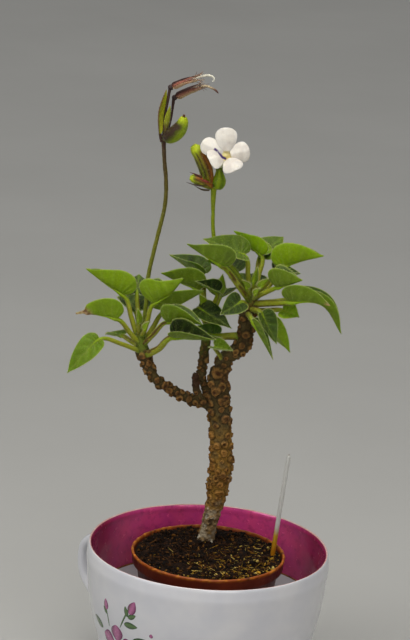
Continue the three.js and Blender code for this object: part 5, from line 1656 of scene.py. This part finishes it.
def spent_shape(name, stalk, knot, core, style, style_tints):
    """A withered flower: a dark stalk, a knot, a torn corolla of strips, and the bare style"""
    rng = seeded(name)
    knot_line = [knot - (0.5, 0, 0.7), knot, knot + (0.7, 0, 0.45)]
    parts = [
        sweep(stalk, (0.55, 0.48, 0.44, 0.6), 18, 50, srgb(60, 34, 27), 0.05, 131),
        sweep(knot_line, (0.55, 1.05, 0.95, 0.6), 18, 16, srgb(52, 34, 32), 0.1, 132),
    ]
    t = np.linspace(0, 1, 40)
    line = along(core, t)
    _, across, upward = frames(line)
    ends = []
    for k in range(STRIPS):
        turn = 2 * np.pi * (k + rng.uniform(-0.3, 0.3)) / STRIPS
        out = across * math.cos(turn) + upward * math.sin(turn)
        reach = rng.uniform(0.82, 1.12)
        spread = np.interp(t, [0, 0.12, 0.5, 1], [0.45, 1.05, 0.95, 0.75 * rng.uniform(0.7, 1.7)])
        path = line + out * spread[:, None]
        path = path[0] + (path - path[0]) * reach
        path = path + 0.16 * np.stack([noise(path, 2.0, 200 + 7 * k + axis) for axis in range(3)], -1)
        # Strips facing down are paler, down to beige: partly the withered colour and partly a painted
        # highlight
        lift = out[20] @ np.array([-0.35, -0.1, 0.93])
        tone = np.clip(0.5 - 0.55 * lift + rng.uniform(-0.3, 0.3), 0, 1)
        dark, salmon, beige = srgb(66, 38, 34), srgb(164, 98, 78), srgb(176, 152, 112)
        tint = mix(mix(dark, salmon, min(1, 2 * tone)), beige, max(0, 2 * tone - 1))
        width = np.interp(t, [0, 0.2, 0.8, 1], [0.3, 0.42, 0.34, 0.1]) * rng.uniform(0.75, 1.3)
        angle = round_angles(STRIP_SIDES) + rng.uniform(0, FULL_TURN)
        wide_way = np.cos(angle)[None] ** 2 / width[:, None] ** 2
        flat = 1 / np.sqrt(wide_way + np.sin(angle)[None] ** 2 / STRIP_THICKNESS**2)
        # Painted highlight: some strips turn pale beige towards their ends
        painted_highlight = row_wise(smooth(0.75, 1.0, t), STRIP_SIDES) * rng.uniform(0, 0.8)
        tints = mix(tint, srgb(196, 172, 142), painted_highlight)
        parts.append(skin(ring_points(path, flat, STRIP_SIDES), tints))
        ends.append(path[-3])
    ends = np.array(ends)
    pick = rng.integers(0, STRIPS, FRINGE)
    ahead = unit(line[-1] - line[-6]) + 0.28 * rng.normal(size=(FRINGE, 3)) * (1, 0.6, 1)
    length = rng.uniform(0.8, 3.0, FRINGE)
    s = np.linspace(0, 1, 6)[None, :, None]
    bend = 0.3 * rng.normal(size=(FRINGE, 3))
    paths = ends[pick][:, None] + length[:, None, None] * (unit(ahead)[:, None] * s + bend[:, None] * s * s)
    fringe = np.array([srgb(112, 76, 62), srgb(186, 160, 132), srgb(150, 112, 92)])
    fringe = fringe[rng.integers(0, 3, FRINGE)]
    parts.append(strands(paths, rng.uniform(0.05, 0.12, FRINGE), fringe))
    t = np.linspace(0, 1, 60)
    rings = ring_points(along(style, t), np.interp(t, [0, 0.3, 0.8, 1], [0.34, 0.4, 0.36, 0.16]), 16)
    tints = mix(style_tints[0], style_tints[1], row_wise(smooth(0.35, 0.8, t), 16))
    parts.append(skin(rings, tints))
    return joined(parts)


add_piece(
    "withered_flower_upper",
    spent_shape(
        "spent_upper", [(-25.7, 2.1, 213.6), (-25.5, 1.7, 222.8), (-24.4, 1.8, 232.4)],
        np.array([-24.1, 1.8, 232.9]),
        [(-23.6, 1.8, 233.2), (-20, 1.2, 235.3), (-15.2, 0.4, 237.2)],
        [(-16.6, 0.6, 236.4), (-13.4, 0.2, 237.9), (-11, 0, 238.4), (-9.4, 0, 237.9), (-9.0, 0, 236.9),
         (-9.7, 0, 236.3)],
        (srgb(222, 216, 196), srgb(232, 230, 214)),
    ),
    [DRY], ["spent_flower_upper"],
)
add_piece(
    "withered_flower_lower",
    spent_shape(
        "spent_lower", [(-25, 3.2, 213.8), (-23.4, 4.4, 221.8), (-22.9, 4.4, 228.4)],
        np.array([-22.6, 4.4, 228.8]),
        [(-22.1, 4.4, 229.2), (-18.4, 4.2, 231.4), (-13.6, 4, 233.3)],
        [(-14.6, 4, 233.0), (-12.0, 4, 233.8), (-9.8, 4, 233.2), (-8.2, 4, 232.4), (-7.2, 4, 231.4)],
        (srgb(196, 176, 140), srgb(104, 66, 54)),
    ),
    [DRY], ["spent_flower_lower"],
)


# Corolla: a short tube that opens into five rounded lobes

THROAT = np.array([-3, -1, 210.2])
FACING = unit((0, -0.9, 0.43))
VIOLET = srgb(58, 22, 104)
# Each lobe's tip, the way its hollow side faces and its half width
LOBES = (
    ((-3.6, 0.6, 220), (0, -1, 0.1), 4.1), ((-12, 0.2, 214.2), (0.1, -1, 0.3), 3.4),
    ((-9.0, -5.2, 209.2), (0.1, -0.8, 0.6), 4.0), ((0.7, -6.3, 206.2), (-0.1, -0.7, 0.7), 4.0),
    ((5.2, -1, 212.6), (-0.1, -1, 0.2), 3.9),
)
LOBE_START = 1.7
TUBE_SIDES, TUBE_RINGS, PAD_RINGS, PAD_RADIUS = 40, 40, 22, 3.35
PURPLE_LINE = np.array([(-7.2, 212.2), (-6.2, 211.5), (-5.2, 210.5), (-4.3, 209.6), (-3.2, 209.1)])


def near_line(points, line):
    """Distance in the picture's plane from points to a polyline of x and z"""
    best = np.full(points.shape[:-1], 99.0)
    flat = points[..., (0, 2)]
    for a, b in zip(line[:-1], line[1:]):
        share = np.clip((flat - a) @ (b - a) / ((b - a) @ (b - a)), 0, 1)
        best = np.minimum(best, np.linalg.norm(flat - a - share[..., None] * (b - a), axis=-1))
    return best


def violet_line(tints, points):
    """The tints with the flower's thin violet line drawn over them"""
    return mix(tints, VIOLET, 1 - smooth(0.26, 0.46, near_line(points, PURPLE_LINE)))


def lobe_shape(index, tip, up, half_width):
    rng = seeded(f"lobe_{index}")
    tip = np.asarray(tip, float)
    base = THROAT + (tip - THROAT) * LOBE_START / np.linalg.norm(tip - THROAT)
    ahead = tip - base
    curve = [base - 0.4 * ahead, base - 0.2 * ahead, base, (base + tip) / 2 + unit(up) * 0.55, tip]
    grid, outward, tau, s, width, start = blade_grid(
        np.array(curve), up, half_width, -16, PETAL_OUTLINE, PETAL_SPINE, 56, 20, rng, 0.035,
    )
    span = np.abs(s)[None]
    row = tau[:, None]
    half = 0.26 * rounded_edge(span, width, half_width) + 0.03 * noise(grid, 1.0, 141, 2) * (1 - span**4)
    veins = np.exp(-((np.sin(s[None] * 9) / 0.35) ** 2)) * (1 - row) * 0.5
    white = mix(srgb(238, 231, 220), srgb(222, 214, 204), smooth(-0.2, 0.7, noise(grid, 2.4, 142, 2)))
    white = mix(white, srgb(214, 208, 196), 0.35 * veins)
    over = mix(white, srgb(226, 216, 166), 0.75 * smooth(0.2, 0.02, row) * np.ones_like(span))
    return thick_blade(grid, outward, half, violet_line(over, grid), white, start, tip)


def corolla_shape():
    """The lobes, the tube that they grow from, and the cream pad with yellow grains in the tube's mouth"""
    parts = [lobe_shape(index, *row) for index, row in enumerate(LOBES)]
    points = [(-4.9, 3.2, 205.2), (-4.8, 2.7, 206.4), (-4.0, 1.4, 208.3), (-3.3, -0.1, 209.75), THROAT]
    outer_t = np.linspace(0, 1, TUBE_RINGS)
    line = along(points, outer_t)
    outward = spokes(line, TUBE_SIDES)
    wide = np.interp(outer_t, [0, 0.3, 0.7, 0.9, 1], [1.1, 1.3, 1.8, 2.3, 3.5])
    outer = line[:, None] + outward * wide[:, None, None]
    inward = np.linspace(0, 1, PAD_RINGS)
    pad_sink = 0.05 + 0.3 * smooth(0.1, 0.7, inward) - 0.25 * smooth(0.75, 1, inward)
    pad_line = THROAT - FACING * pad_sink[:, None]
    inner = pad_line[:, None] + outward[-1] * (PAD_RADIUS * (1 - inward) + 0.08)[:, None, None]
    outside = mix(srgb(206, 206, 160), srgb(238, 236, 228), row_wise(outer_t, TUBE_SIDES))
    inside = mix(srgb(240, 234, 214), srgb(236, 222, 150), row_wise(smooth(0.25, 0.7, inward), TUBE_SIDES))
    lower_half = smooth(0.4, -0.8, inner[..., 2] - THROAT[2])
    inside = mix(inside, srgb(216, 190, 92), 0.6 * lower_half * smooth(0.3, 0.6, inward)[:, None])
    tints = np.concatenate([outside, violet_line(inside, inner)])
    parts.append(skin(np.concatenate([outer, inner]), tints, line[0], pad_line[-1]))
    low = np.array([0, -0.43, -0.9])
    for k in range(4):
        for side in (-0.5, 0.45):
            place = THROAT + low * (1.85 - 0.16 * k) + (side + 0.5, 0, 0) + FACING * (0.1 - 0.38 * k)
            ends = [place - (0.2, 0, 0.1), place + (0.2, 0, 0.1)]
            parts.append(sweep(ends, (0.1, 0.24, 0.24, 0.1), 10, 8, srgb(168, 150, 52)))
    return joined(parts)


add_piece("white_corolla", corolla_shape(), [PETAL], ["corolla"])
